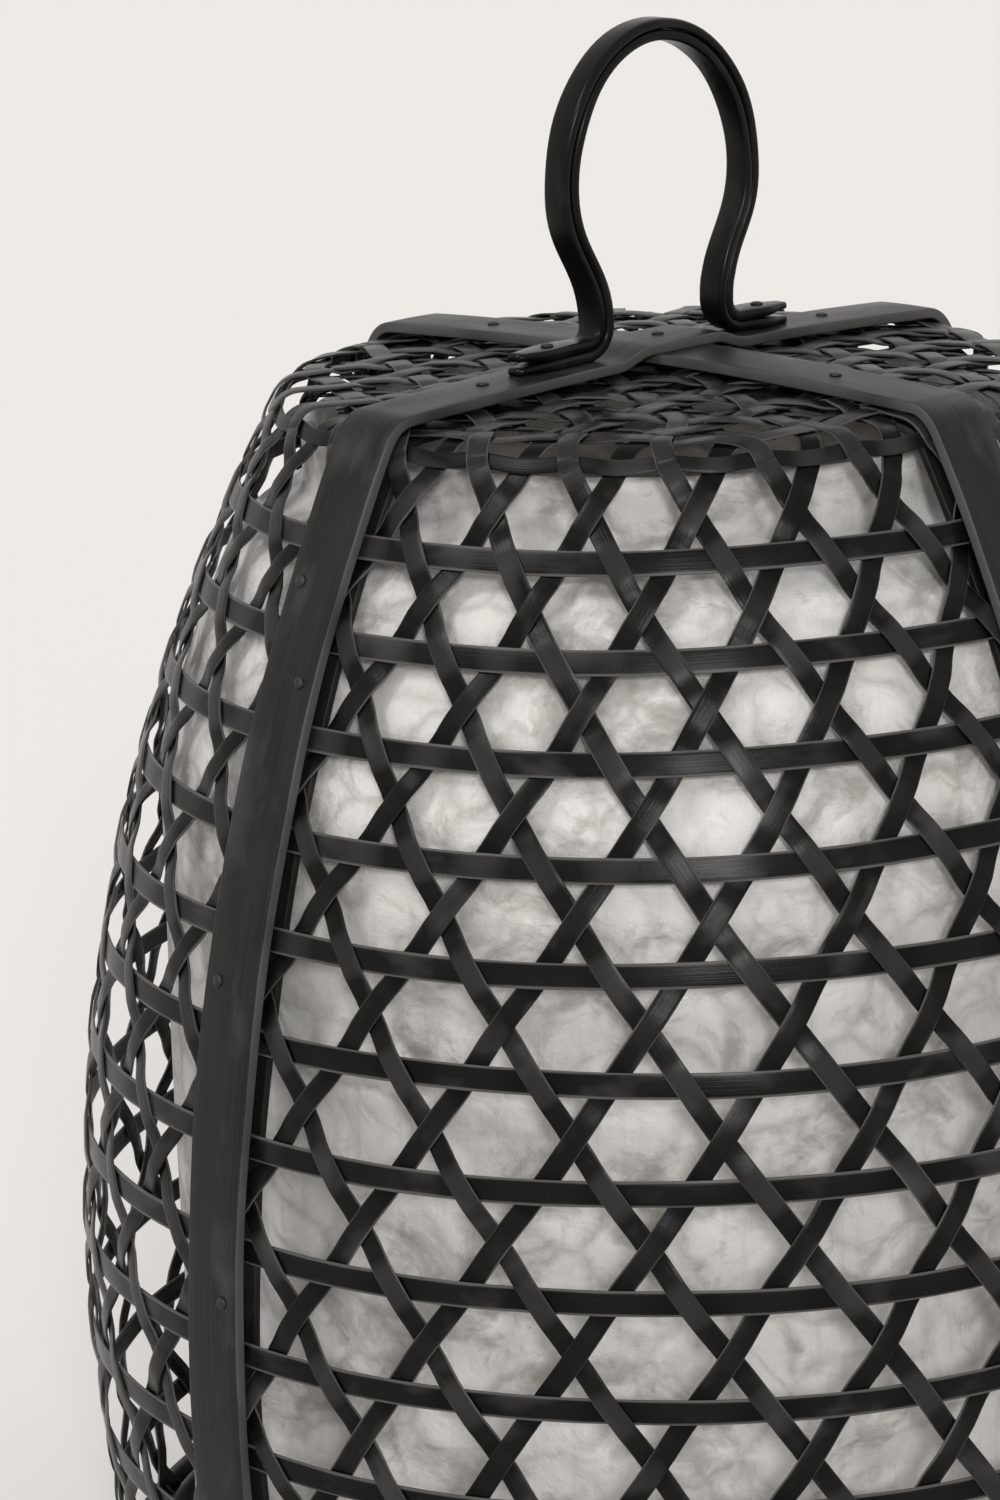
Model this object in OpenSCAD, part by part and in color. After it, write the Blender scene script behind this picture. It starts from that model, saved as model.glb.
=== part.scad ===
// Woven bamboo candle lantern: a hexagonal (kagome) weave basket with four bamboo ribs and a
// bentwood loop handle, set over a wide-mouthed glass jar that holds a pillar candle.
// Millimetres, +Z up. The origin is the middle of the resting surface. The handle's loop and
// one pair of ribs stand in the XZ plane, the other pair in the YZ plane.

/* [Basket] */
// Radius of the weave where it is widest
belly_r = 160; // [150:1:175]
// Height of the widest place
belly_z = 103; // [90:1:115]
// Radius of the hoop at the shoulder
shoulder_r = 100; // [95:1:108]
// Height of the hoop at the shoulder
shoulder_z = 334; // [320:1:345]
// Height of the lowest hoop
low_hoop_z = 6.5; // [6:0.5:8]
// Number of hoops from the shoulder down to the rim
hoop_count = 14; // [14:1:15]
// How much the rows widen down the side, as a share of a row
row_growth = 0.11; // [0:0.01:0.15]

/* [Weave] */
// Number of strips that lean each way
strips_each_way = 27; // [25:1:28]
// Turn of the weave about the basket's axis, in degrees
weave_turn = 2.5; // [0:0.5:12]
// Width of a woven strip
strip_w = 5.5; // [4.5:0.1:6]
// Thickness of the strips and hoops
strip_t = 0.6; // [0.4:0.05:0.7]
// Width of a hoop
hoop_w = 6.3; // [5:0.1:6.5]
// Distance from the weave's middle surface to a strip's middle where it crosses a hoop
hoop_lift = 1.4; // [1.2:0.05:1.8]
// The same distance where two strips cross
cross_lift = 1.0; // [0.9:0.05:1.3]

/* [Top] */
// Distance between neighbouring parallel strips of the flat top
top_pitch = 21.5; // [19:0.5:23]
// How far the top rises from its edge to its middle
dome_h = 3; // [1:0.5:6]
// Distance from the top's middle surface to a strip's middle at each crossing
top_lift = 1.2; // [1:0.05:1.5]

/* [Ribs] */
// Width of the outer ribs
outer_rib_w = 19; // [15:0.5:24]
// Width of the inner ribs
inner_rib_w = 17; // [12:0.5:20]
// Thickness of the outer ribs
outer_rib_t = 2.6; // [2:0.1:3.5]
// Thickness of the inner ribs
inner_rib_t = 2.0; // [1.5:0.1:2.5]
// Radius of a nail's shank
nail_r = 0.7; // [0.5:0.05:0.9]
// Radius of a nail's head
nail_head_r = 1.7; // [1.3:0.1:2.2]
// Height of a nail's head
nail_head_h = 0.8; // [0.5:0.1:1.2]

/* [Rim] */
// Height of the two rings that clamp the ends of the strips
rim_h = 13; // [11:0.5:18]
// Thickness of each ring
rim_t = 3; // [2:0.1:4]
// Number of nails through the rings
rim_nails_n = 9; // [3:3:9]

/* [Handle] */
// Width of the two bent layers
handle_w = 8; // [6:0.5:12]
// Thickness of one layer
layer_t = 2.7; // [2:0.1:3]
// Half the loop's width at its widest, over the outer layer
loop_half = 35.5; // [32:0.5:45]
// Height of the widest place above the top rib
loop_waist_h = 40; // [38:1:50]
// Height of the loop above the top rib
loop_h = 81; // [76:1:110]
// Half the distance between the legs, at the seam of the two layers
leg_half = 22; // [20:0.5:25]
// Radius of the seam where a leg turns outward
foot_bend = 6; // [5:0.5:8]
// Reach of the left foot from the axis
left_foot = 51; // [46:1:56]
// Reach of the right foot from the axis
right_foot = 46; // [44:1:56]

/* [Glass jar] */
// Room between the jar's wall and the weave at its widest
jar_room = 25; // [24:1:42]
// Thickness of the wall
jar_wall = 4; // [2.5:0.5:6]
// Thickness of the floor
jar_floor = 7; // [5:0.5:12]
// How much smaller the neck's radius is than the shoulder hoop's
neck_inset = 7; // [6:1:16]
// Drop from the shoulder hoop to the neck's foot
neck_drop = 17; // [16:0.5:24]
// Drop from the shoulder hoop to the mouth
mouth_drop = 4; // [3:0.5:12]

/* [Candle] */
// Radius of the candle
candle_r = 38; // [25:1:50]
// Height of the candle
candle_h = 105; // [60:1:130]
// Radius of the wick
wick_r = 1.2; // [0.8:0.1:1.6]
// Length of wick above the wax
wick_h = 12; // [8:1:15]

/* [Hidden] */

$fn = 96;

// Clearances
weave_gap = 0.2;      // between the weave and what presses on it
rib_gap = 0.15;       // between two ribs, or a rib and a handle layer
inner_rib_gap = 0.6;  // the flat inner ribs stay clear of the round weave at their edges
nail_gap = 0.1;       // round a nail's shank, and under its head
seat_gap = 0.2;       // under the candle, and under a rib's end
jar_gap = 0.3;        // between the jar's shoulder and the inner ribs

// The side is one arc, tangent to the vertical at the belly
side_drop = belly_r - shoulder_r;
bend_r = (pow(shoulder_z - belly_z, 2) + side_drop * side_drop) / (2 * side_drop);
arc_x = belly_r - bend_r;
shoulder_angle = asin((shoulder_z - belly_z) / bend_r);
foot_angle = asin((belly_z - low_hoop_z) / bend_r);
rows = hoop_count - 1;
step = 180 / strips_each_way;

// Radius of the top strips' ends, and height of the top's middle surface at its edge
weave_half = hoop_lift + strip_t / 2;
top_half = top_lift + strip_t / 2;
top_end_r = shoulder_r - 2.5;
hoop_top_z = shoulder_z + hoop_w / 2 * cos(shoulder_angle);
top_edge_z = hoop_top_z + weave_gap + top_half;
top_strips_each = 9;

// Angle up the side arc of a row, counted in hoops down from the shoulder
function row_angle(u) =
    let (t = u / rows)
    shoulder_angle - (shoulder_angle + foot_angle) * t * (1 - row_growth + row_growth * t);

// A point of the side's profile, lifted outward from the weave's middle surface
function side_point(angle, lift) =
    [arc_x + (bend_r + lift) * cos(angle), belly_z + (bend_r + lift) * sin(angle)];

// Radius of the middle surface at a height
function side_r(z) = arc_x + sqrt(bend_r * bend_r - (z - belly_z) * (z - belly_z));

// Height of the top's middle surface at a distance from the axis
function top_z(rho) = top_edge_z + dome_h * (1 - pow(rho / shoulder_r, 2));

function unit(v) = v / norm(v);

// ---- Ribbons: one ring of four corners at each crossing, joined into a closed strip ----

function ring(middle, across, out) = [
    middle - across * strip_w / 2 - out * strip_t / 2,
    middle + across * strip_w / 2 - out * strip_t / 2,
    middle + across * strip_w / 2 + out * strip_t / 2,
    middle - across * strip_w / 2 + out * strip_t / 2
];

module ribbon(rings) {
    last = len(rings) - 1;
    points = [for (r = rings) each r];
    sides = [for (i = [0:last - 1], k = [0:3])
        let (a = 4 * i + k, b = 4 * i + (k + 1) % 4)
        each [[a, b, b + 4], [a, b + 4, a + 4]]];
    caps = [[2, 1, 0], [3, 2, 0],
        [4 * last, 4 * last + 1, 4 * last + 2], [4 * last, 4 * last + 2, 4 * last + 3]];
    polyhedron(points, concat(caps, sides), convexity = 4);
}

// Places along a leaning strip: every hoop and every crossing between hoops, and its two ends
strip_rows = concat([-0.13], [for (m = [0:2 * rows]) m / 2], [rows + 0.2]);

// How far a strip stands out of the middle surface. Right-leaning strips pass under the hoops
// and over the left-leaning ones, which pass over the hoops.
function strip_lift(u, lean) =
    let (nearest = min(max(u, 0), rows))
    nearest == floor(nearest) ? lean * hoop_lift : -lean * cross_lift;

function side_at(u, azimuth, lift) =
    let (p = side_point(row_angle(u), lift))
    [p[0] * cos(azimuth), p[0] * sin(azimuth), p[1]];

// lean is 1 for a strip that turns counter-clockwise on its way down, and -1 for the other way
function side_ring(u, start, lean) =
    let (azimuth = start + lean * u * step,
         a = row_angle(u),
         out = [cos(a) * cos(azimuth), cos(a) * sin(azimuth), sin(a)],
         along = side_at(u + 0.25, azimuth + lean * step / 4, 0)
             - side_at(u - 0.25, azimuth - lean * step / 4, 0))
    ring(side_at(u, azimuth, strip_lift(u, lean)), unit(cross(along, out)), out);

module leaning_strips(lean) {
    for (j = [0:strips_each_way - 1])
        ribbon([for (u = strip_rows)
            side_ring(u, weave_turn - lean * step / 2 + j * 2 * step, lean)]);
}

// ---- Flat top: three families of straight strips, each over one and under the other ----

station = top_pitch / sqrt(3);

// Lift along a top strip: a zigzag that turns at each crossing
function top_zigzag(row, s) =
    let (k = s / station - 0.5,
         below = floor(k),
         sign = (row + below) % 2 == 0 ? -1 : 1)
    top_lift * sign * (1 - 2 * (k - below));

function top_ring(row, s) =
    let (y = (row + 1 / 6) * top_pitch,
         rho = norm([s, y]))
    ring([s, y, top_z(rho) + top_zigzag(row, s)], [0, 1, 0], [0, 0, 1]);

module top_strips(family) {
    half = (top_strips_each - 1) / 2;
    rotate(120 * family + weave_turn)
        for (row = [-half:half]) {
            y = (row + 1 / 6) * top_pitch;
            end = sqrt(pow(top_end_r, 2) - pow(abs(y) + strip_w / 2, 2));
            first = ceil(-end / station - 0.4);
            last = floor(end / station - 0.6);
            ribbon(concat([top_ring(row, -end)],
                [for (k = [first:last]) top_ring(row, (k + 0.5) * station)],
                [top_ring(row, end)]));
        }
}

// ---- Hoops ----

module hoop(index) {
    a = row_angle(index);
    color("#262626")
        rotate_extrude()
            translate(side_point(a, 0))
                rotate(a)
                    square([strip_t, hoop_w], center = true);
}

// ---- Bands: flat bamboo bent along a curve in the XZ plane ----

function side_normal(points, i) =
    let (last = len(points) - 1,
         d = points[min(i + 1, last)] - points[max(i - 1, 0)])
    unit([-d[1], d[0]]);

// Outline between two offsets to the left of a line of points
function band_outline(points, low, high) = concat(
    [for (i = [0:len(points) - 1]) points[i] + low * side_normal(points, i)],
    [for (i = [len(points) - 1:-1:0]) points[i] + high * side_normal(points, i)]);

module band(points, low, high, width) {
    rotate([90, 0, 0])
        linear_extrude(width, center = true)
            polygon(band_outline(points, low, high));
}

// A rib's middle line, from its lower end up the side, round the shoulder and to the axis.
// lift is its distance from the weave's middle surface, and rise what it climbs over at the axis.
rib_turn_run = 5;

bump_margin = 2;
bump_fade = 12;

function bump_end(width) = width / 2 + bump_margin + bump_fade;

function rib_bump(x, width) =
    x < bump_end(width) - bump_fade ? 1
    : x > bump_end(width) ? 0
    : (1 - cos(180 * (bump_end(width) - x) / bump_fade)) / 2;

function rib_top(x, lift, rise, width) = top_z(x) + lift + rise * rib_bump(x, width);

function bezier(p, q, r, t) = (1 - t) * (1 - t) * p + 2 * t * (1 - t) * q + t * t * r;

function rib_half(lift, top_lift_z, rise, width) =
    let (low = -asin((belly_z - rim_h - seat_gap - 0.6) / bend_r),
         side = [for (i = [0:22])
             side_point(low + (shoulder_angle - low) * i / 22, lift)],
         from = side[22],
         level = rib_top(from[0], top_lift_z, rise, width),
         corner = [from[0] - (level - from[1]) * tan(shoulder_angle), level],
         turn_x = corner[0] - rib_turn_run,
         to = [turn_x, rib_top(turn_x, top_lift_z, rise, width)],
         turn = [for (i = [1:6]) bezier(from, corner, to, i / 6)],
         crown_x = bump_end(width),
         top = [for (i = [1:6])
             let (x = turn_x + (crown_x - turn_x) * i / 6)
             [x, rib_top(x, top_lift_z, rise, width)]],
         crown = [for (i = [1:14])
             let (x = crown_x * (1 - i / 14))
             [x, rib_top(x, top_lift_z, rise, width)]])
    concat(side, turn, top, crown);

function mirrored(points) = concat(
    points, [for (i = [len(points) - 2:-1:0]) [-points[i][0], points[i][1]]]);

outer_lift = weave_half + weave_gap + outer_rib_t / 2;
outer_top_lift = top_half + weave_gap + outer_rib_t / 2;
outer_rise = outer_rib_t + rib_gap;
inner_lift = -(weave_half + inner_rib_gap + inner_rib_t / 2);
inner_top_lift = -(top_half + weave_gap + inner_rib_t / 2);
inner_rise = -(inner_rib_t + rib_gap);

// ---- Nails ----

// Rows of the weave at which the ribs are nailed
nail_rows = [1.5, 2.5, 5.5, 8.5, 11.5];
nail_reach = 4.5;

// Sideways shift that keeps a nail in the open hexagon nearest to a rib's middle
function hexagon_shift(azimuth, u) =
    let (k = floor(u),
         d = weave_turn + (k % 2 + 1) * step - azimuth,
         near = d - 2 * step * round(d / (2 * step)),
         y = side_r(side_point(row_angle(u), 0)[1]) * sin(near))
    max(-nail_reach, min(nail_reach, y));

module at_rib_nail(azimuth, u, lift) {
    p = side_point(row_angle(u), lift);
    rotate(azimuth)
        translate([p[0], hexagon_shift(azimuth, u), p[1]])
            rotate([0, 90 - row_angle(u), 0])
                children();
}

module nail(length) {
    translate([0, 0, -length])
        cylinder(r = nail_r, h = length + nail_gap + nail_head_h / 2);
    translate([0, 0, nail_gap])
        cylinder(r = nail_head_r, h = nail_head_h);
}

// The hole opens past the face that the head sits on, which may slope
module nail_hole(length) {
    translate([0, 0, -length])
        cylinder(r = nail_r + nail_gap, h = length + nail_head_h);
}

outer_face = weave_half + weave_gap + outer_rib_t;
inner_face = weave_half + inner_rib_gap + inner_rib_t;
rib_nail_l = outer_face + inner_face;

module rib_nail_holes(turns) {
    for (azimuth = turns, u = nail_rows)
        at_rib_nail(azimuth, u, outer_face)
            nail_hole(2 * rib_nail_l);
}

// Short tacks in the ribs across the top, and one where the ribs cross
tack_r = 62;
tack_l = outer_rib_t;

module at_tack(azimuth) {
    rotate(azimuth)
        translate([tack_r, 0, top_z(tack_r) + outer_top_lift + outer_rib_t / 2])
            children();
}

cross_tack_z = top_z(0) + outer_top_lift + outer_rise + outer_rib_t / 2;

module tack_holes(turns) {
    for (azimuth = turns)
        at_tack(azimuth)
            nail_hole(4 * tack_l);
    translate([0, 0, cross_tack_z])
        nail_hole(4 * outer_rib_t);
}

// ---- Handle ----

foot_z = function (x) rib_top(abs(x), outer_top_lift, outer_rise, outer_rib_w) + outer_rib_t / 2;
seam_z = foot_z(leg_half + foot_bend) + rib_gap + layer_t + rib_gap / 2;
rib_top_z = foot_z(0);
loop_seam_half = loop_half - layer_t - rib_gap / 2;
waist_z = rib_top_z + loop_waist_h;
apex_z = rib_top_z + loop_h - layer_t - rib_gap / 2;

function foot_line(reach) = [for (i = [0:4])
    let (x = reach + (leg_half + foot_bend - reach) * i / 4)
    [-x, foot_z(x) + rib_gap + layer_t + rib_gap / 2]];

function foot_turn() = [for (a = [15:15:90])
    [-leg_half - foot_bend + foot_bend * sin(a), seam_z + foot_bend * (1 - cos(a))]];

function cubic(p, q, r, s, t) =
    pow(1 - t, 3) * p + 3 * t * pow(1 - t, 2) * q + 3 * t * t * (1 - t) * r + pow(t, 3) * s;

function leg_line() =
    let (low = [-leg_half, seam_z + foot_bend],
         high = [-loop_seam_half, waist_z],
         pull = (high[1] - low[1]) * 0.45)
    [for (i = [1:8]) cubic(low, low + [0, pull], high - [0, pull], high, i / 8)];

function loop_half_line(reach) = concat(foot_line(reach), foot_turn(), leg_line(),
    [for (a = [10:10:80]) [-loop_seam_half * cos(a), waist_z + (apex_z - waist_z) * sin(a)]]);

right_half = loop_half_line(right_foot);
handle_line = concat(
    loop_half_line(left_foot),
    [[0, apex_z]],
    [for (i = [len(right_half) - 1:-1:0]) [-right_half[i][0], right_half[i][1]]]);

handle_nail_x = [-(left_foot + leg_half + foot_bend) / 2, (right_foot + leg_half + foot_bend) / 2];
handle_nail_l = 2 * layer_t + 2 * rib_gap + outer_rib_t;

module at_handle_nails() {
    for (x = handle_nail_x)
        translate([x, 0, foot_z(x) + 2 * layer_t + 2 * rib_gap])
            children();
}

// ---- The nodes ----

module right_leaning_strips() { color("#2b2b2b") leaning_strips(-1); }

module left_leaning_strips() { color("#2b2b2b") leaning_strips(1); }

module outer_rib_handle() {
    color("#303030")
        difference() {
            band(mirrored(rib_half(outer_lift, outer_top_lift, outer_rise, outer_rib_w)),
                -outer_rib_t / 2, outer_rib_t / 2, outer_rib_w);
            rib_nail_holes([0, 180]);
            tack_holes([0, 180]);
            at_handle_nails() nail_hole(2 * handle_nail_l);
        }
}

module outer_rib_cross() {
    color("#303030")
        difference() {
            rotate(90)
                band(mirrored(rib_half(outer_lift, outer_top_lift, 0, outer_rib_w)),
                    -outer_rib_t / 2, outer_rib_t / 2, outer_rib_w);
            rib_nail_holes([90, 270]);
            tack_holes([90, 270]);
        }
}

module inner_rib_handle() {
    color("#1c1c1c")
        difference() {
            band(mirrored(rib_half(inner_lift, inner_top_lift, 0, inner_rib_w)),
                -inner_rib_t / 2, inner_rib_t / 2, inner_rib_w);
            rib_nail_holes([0, 180]);
        }
}

module inner_rib_cross() {
    color("#1c1c1c")
        difference() {
            rotate(90)
                band(mirrored(rib_half(inner_lift, inner_top_lift, inner_rise, inner_rib_w)),
                    -inner_rib_t / 2, inner_rib_t / 2, inner_rib_w);
            rib_nail_holes([90, 270]);
        }
}

module rib_nails() {
    color("#101010")
        for (azimuth = [0, 90, 180, 270], u = nail_rows)
            at_rib_nail(azimuth, u, outer_face)
                nail(rib_nail_l);
}

module rib_tacks() {
    color("#101010") {
        for (azimuth = [0, 90, 180, 270])
            at_tack(azimuth)
                nail(tack_l);
        translate([0, 0, cross_tack_z])
            nail(2 * outer_rib_t + rib_gap);
    }
}

// A ring that follows the side's slope; low_lift and high_lift are its two faces
module rim(low_lift, high_lift) {
    color("#262626")
        rotate_extrude()
            polygon([
                [side_r(0) + low_lift, 0], [side_r(0) + high_lift, 0],
                [side_r(rim_h) + high_lift, rim_h], [side_r(rim_h) + low_lift, rim_h]
            ]);
}

rim_lift = weave_half + weave_gap + 0.1;
rim_nail_z = rim_h - 1.6;

// The rim's nails pass through the lowest row of open hexagons
module rim_nail_places() {
    first_hexagon = weave_turn + ((rows - 1) % 2 + 1) * step;
    for (j = [0:rim_nails_n - 1])
        rotate(first_hexagon + 2 * step * round(j * strips_each_way / rim_nails_n))
            translate([side_r(rim_nail_z) + rim_lift + rim_t, 0, rim_nail_z])
                rotate([0, 90, 0])
                    children();
}

module outer_rim() {
    difference() {
        rim(rim_lift, rim_lift + rim_t);
        color("#262626") rim_nail_places() nail_hole(6 * rim_t);
    }
}

module inner_rim() {
    difference() {
        rim(-rim_lift - rim_t, -rim_lift);
        color("#262626") rim_nail_places() nail_hole(8 * rim_t);
    }
}

module rim_nails() {
    color("#101010")
        rim_nail_places()
            translate([0, 0, 0.6])
                nail(2 * rim_t + 2 * rim_lift);
}

module handle_layer(low, high) {
    color("#2b2b2b")
        difference() {
            band(handle_line, low, high, handle_w);
            at_handle_nails() nail_hole(2 * handle_nail_l);
        }
}

module handle_outer_layer() { handle_layer(rib_gap / 2, rib_gap / 2 + layer_t); }

module handle_inner_layer() { handle_layer(-rib_gap / 2 - layer_t, -rib_gap / 2); }

module handle_nails() {
    color("#101010")
        at_handle_nails()
            nail(handle_nail_l);
}

// The jar stands on the same surface as the basket. Its shoulder follows the inner ribs, which
// rest on it, from where the wall turns in to where it turns again for the neck.
jar_r = belly_r - jar_room;
neck_r = shoulder_r - neck_inset;
neck_z = shoulder_z - neck_drop;
mouth_z = shoulder_z - mouth_drop;
jar_heel = 6;
seat_bend_r = bend_r - inner_face - jar_gap;
seat_outer_share = 0.9;  // where the seat begins and ends between the neck and the wall
seat_inner_share = 0.48;

function seat_angle(share) = acos((neck_r + share * (jar_r - neck_r) - arc_x) / seat_bend_r);

seat_low = seat_angle(seat_outer_share);
seat_high = seat_angle(seat_inner_share);

function seat_point(a) = [arc_x + seat_bend_r * cos(a), belly_z + seat_bend_r * sin(a)];

// Where the tangent at a point of the seat meets the jar's wall
function wall_corner(a) =
    let (p = seat_point(a))
    [jar_r, p[1] - (jar_r - p[0]) / tan(a)];

function jar_shoulder() =
    let (low = seat_point(seat_low),
         corner = wall_corner(seat_low),
         wall_top = [jar_r, 2 * corner[1] - low[1]],
         high = seat_point(seat_high),
         bend = (neck_z - high[1]) * 0.75)
    concat(
        [for (i = [0:7]) bezier(wall_top, corner, low, i / 8)],
        [for (i = [0:5]) seat_point(seat_low + (seat_high - seat_low) * i / 5)],
        [for (i = [1:10]) cubic(high, high + bend * [-sin(seat_high), cos(seat_high)],
            [neck_r, neck_z - bend / 2], [neck_r, neck_z], i / 10)]);

function jar_foot(inset, floor_z) = concat(
    [[0, floor_z]],
    [for (a = [0:15:90])
        [jar_r - inset - jar_heel + jar_heel * sin(a), floor_z + jar_heel * (1 - cos(a))]]);

module glass_jar() {
    outer = concat(jar_shoulder(), [[neck_r, mouth_z]]);
    inner = [for (i = [len(outer) - 1:-1:0])
        outer[i] + jar_wall * side_normal(outer, i)];
    floor_side = jar_foot(jar_wall, jar_floor);
    color([0.86, 0.84, 0.80, 0.6])
        rotate_extrude()
            polygon(concat(jar_foot(0, 0), outer, inner,
                [for (i = [len(floor_side) - 1:-1:0]) floor_side[i]]));
}

module candle() {
    color("#efe9da")
        translate([0, 0, jar_floor + seat_gap])
            rotate_extrude()
                polygon([
                    [wick_r + nail_gap, 0], [candle_r - 2, 0], [candle_r, 2],
                    [candle_r, candle_h - 3], [candle_r - 1, candle_h - 0.7],
                    [candle_r - 3, candle_h], [candle_r - 7, candle_h - 1.5],
                    [wick_r + nail_gap, candle_h - 3]
                ]);
}

module candle_wick() {
    color("#3a332c")
        translate([0, 0, jar_floor + seat_gap])
            cylinder(r = wick_r, h = candle_h - 3 + wick_h);
}

module top_family(family) { color("#2b2b2b") top_strips(family); }

hoop(0);  // hoop_01
hoop(1);  // hoop_02
hoop(2);  // hoop_03
hoop(3);  // hoop_04
hoop(4);  // hoop_05
hoop(5);  // hoop_06
hoop(6);  // hoop_07
hoop(7);  // hoop_08
hoop(8);  // hoop_09
hoop(9);  // hoop_10
hoop(10);  // hoop_11
hoop(11);  // hoop_12
hoop(12);  // hoop_13
hoop(13);  // hoop_14
right_leaning_strips();
left_leaning_strips();
top_family(0);  // top_strips_1
top_family(1);  // top_strips_2
top_family(2);  // top_strips_3
outer_rib_handle();
outer_rib_cross();
inner_rib_handle();
inner_rib_cross();
rib_nails();
rib_tacks();
outer_rim();
inner_rim();
rim_nails();
handle_outer_layer();
handle_inner_layer();
handle_nails();
glass_jar();
candle();
candle_wick();
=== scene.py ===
import bisect, bpy, bmesh, math, random
from mathutils import Vector, Matrix


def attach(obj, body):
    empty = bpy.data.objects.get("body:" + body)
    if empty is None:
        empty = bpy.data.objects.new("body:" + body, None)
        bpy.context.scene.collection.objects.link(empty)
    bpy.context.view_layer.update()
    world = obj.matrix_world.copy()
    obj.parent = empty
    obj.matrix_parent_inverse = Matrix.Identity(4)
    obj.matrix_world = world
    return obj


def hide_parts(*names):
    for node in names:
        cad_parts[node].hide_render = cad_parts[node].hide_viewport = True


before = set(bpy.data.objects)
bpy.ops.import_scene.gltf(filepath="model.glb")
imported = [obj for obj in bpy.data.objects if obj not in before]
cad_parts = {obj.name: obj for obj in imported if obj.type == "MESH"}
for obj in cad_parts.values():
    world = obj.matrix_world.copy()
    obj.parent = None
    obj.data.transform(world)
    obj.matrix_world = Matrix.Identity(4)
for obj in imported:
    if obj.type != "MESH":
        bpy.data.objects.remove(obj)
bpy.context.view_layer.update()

MM = 0.001

# ------------------------------------------------------------------ sizes shared with the CAD, in millimetres
BELLY_R, BELLY_Z = 160.0, 103.0
SHOULDER_R, SHOULDER_Z = 100.0, 334.0
LOW_HOOP_Z = 6.5
ROWS = 13                       # spaces between the hoops
GROWTH = 0.11                   # how much the rows grow on their way down
STRIPS = 27                     # strips leaning each way
TURN = 2.5                      # of the whole weave about Z, in degrees
STEP = 180.0 / STRIPS           # half the angle between two neighbours
DROP = BELLY_R - SHOULDER_R
BEND_R = ((SHOULDER_Z - BELLY_Z) ** 2 + DROP * DROP) / (2 * DROP)
ARC_X = BELLY_R - BEND_R
SHOULDER_A = math.asin((SHOULDER_Z - BELLY_Z) / BEND_R)
FOOT_A = math.asin((BELLY_Z - LOW_HOOP_Z) / BEND_R)
TOP_Z, DOME = 338.45, 3.0       # height of the top's middle surface at its edge, and its rise at the axis
PITCH = 21.5                    # between two parallel strips of the top

STRIP_W, STRIP_T = 5.4, 0.6
HOOP_W, SHOULDER_HOOP_W = 6.3, 4.0  # the hoop at the shoulder is drawn narrower than the CAD's
HOOP_SAMPLES = 16 * STRIPS
HOOP_SHEEN_GAIN = 4                         # a hoop's painted highlight and painted shade follow its small waves as if they stood this many times higher


def row_angle(u):
    t = u / ROWS
    return SHOULDER_A - (SHOULDER_A + FOOT_A) * t * (1 - GROWTH + GROWTH * t)


def side_point(angle, azimuth, lift):
    r = ARC_X + (BEND_R + lift) * math.cos(angle)
    z = BELLY_Z + (BEND_R + lift) * math.sin(angle)
    return Vector((r * math.cos(azimuth), r * math.sin(azimuth), z))


def side_out(angle, azimuth):
    return Vector((math.cos(angle) * math.cos(azimuth), math.cos(angle) * math.sin(azimuth), math.sin(angle)))


def side_r(z):
    return ARC_X + math.sqrt(BEND_R ** 2 - (z - BELLY_Z) ** 2)


def top_z(rho):
    return TOP_Z + DOME * (1 - (rho / SHOULDER_R) ** 2)


# ------------------------------------------------------------------ mesh helpers
def new_object(name, bm, material):
    mesh = bpy.data.meshes.new(name)
    bm.to_mesh(mesh)
    bm.free()
    obj = bpy.data.objects.new(name, mesh)
    bpy.context.scene.collection.objects.link(obj)
    for p in mesh.polygons:
        p.use_smooth = True
    obj.data.materials.append(material)
    return obj


def profile(width, thick, round_off=0.16, crown=0.10):
    """Cross section of a splint: crowned on its outer face, with eased edges. (across, out) pairs."""
    w, t = width / 2, thick / 2
    e = min(round_off, t * 0.9)
    face = [(w * k, t + crown * (1 - k * k)) for k in (0.62, 0.2, -0.2, -0.62)]
    return ([(-w + e, -t), (w - e, -t), (w - e * 0.3, -t + e * 0.3), (w, -t + e),
             (w, t - e), (w - e * 0.3, t - e * 0.3), (w - e, t)]
            + face + [(-w + e, t), (-w + e * 0.3, t - e * 0.3), (-w, t - e),
                      (-w, -t + e), (-w + e * 0.3, -t + e * 0.3)])


def sweep(bm, uv_layer, points, across, out, section, seed, rise=None, closed=False):
    """Sweeps a section along points (mm). across and out are unit vectors at each point.
    UV: u runs along in metres, v across, so grain can follow the strip."""
    n, k = len(points), len(section)
    rings = []
    run = 0.0
    lengths = []
    for i in range(n):
        if i:
            run += (points[i] - points[i - 1]).length
        lengths.append(run * MM)
        rings.append([bm.verts.new((points[i] + across[i] * a + out[i] * o) * MM) for a, o in section])
        if rise:
            for v in rings[-1]:
                v[bm.verts.layers.float["rise"]] = rise[i]
    if closed:
        lengths.append((run + (points[0] - points[-1]).length) * MM)
    last = n if closed else n - 1
    for i in range(last):
        j = (i + 1) % n
        for s in range(k):
            t = (s + 1) % k
            f = bm.faces.new((rings[i][s], rings[j][s], rings[j][t], rings[i][t]))
            va, vb = section[s][0] * MM, section[t][0] * MM
            corners = ((lengths[i], va), (lengths[i + 1], va), (lengths[i + 1], vb), (lengths[i], vb))
            for loop, (lu, lv) in zip(f.loops, corners):
                loop[uv_layer].uv = (lu + seed * 7.3, lv)
    if not closed:
        for ring, flip in ((rings[0], True), (rings[-1], False)):
            f = bm.faces.new(ring if flip else ring[::-1])
            for loop in f.loops:
                loop[uv_layer].uv = (seed, seed)


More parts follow.
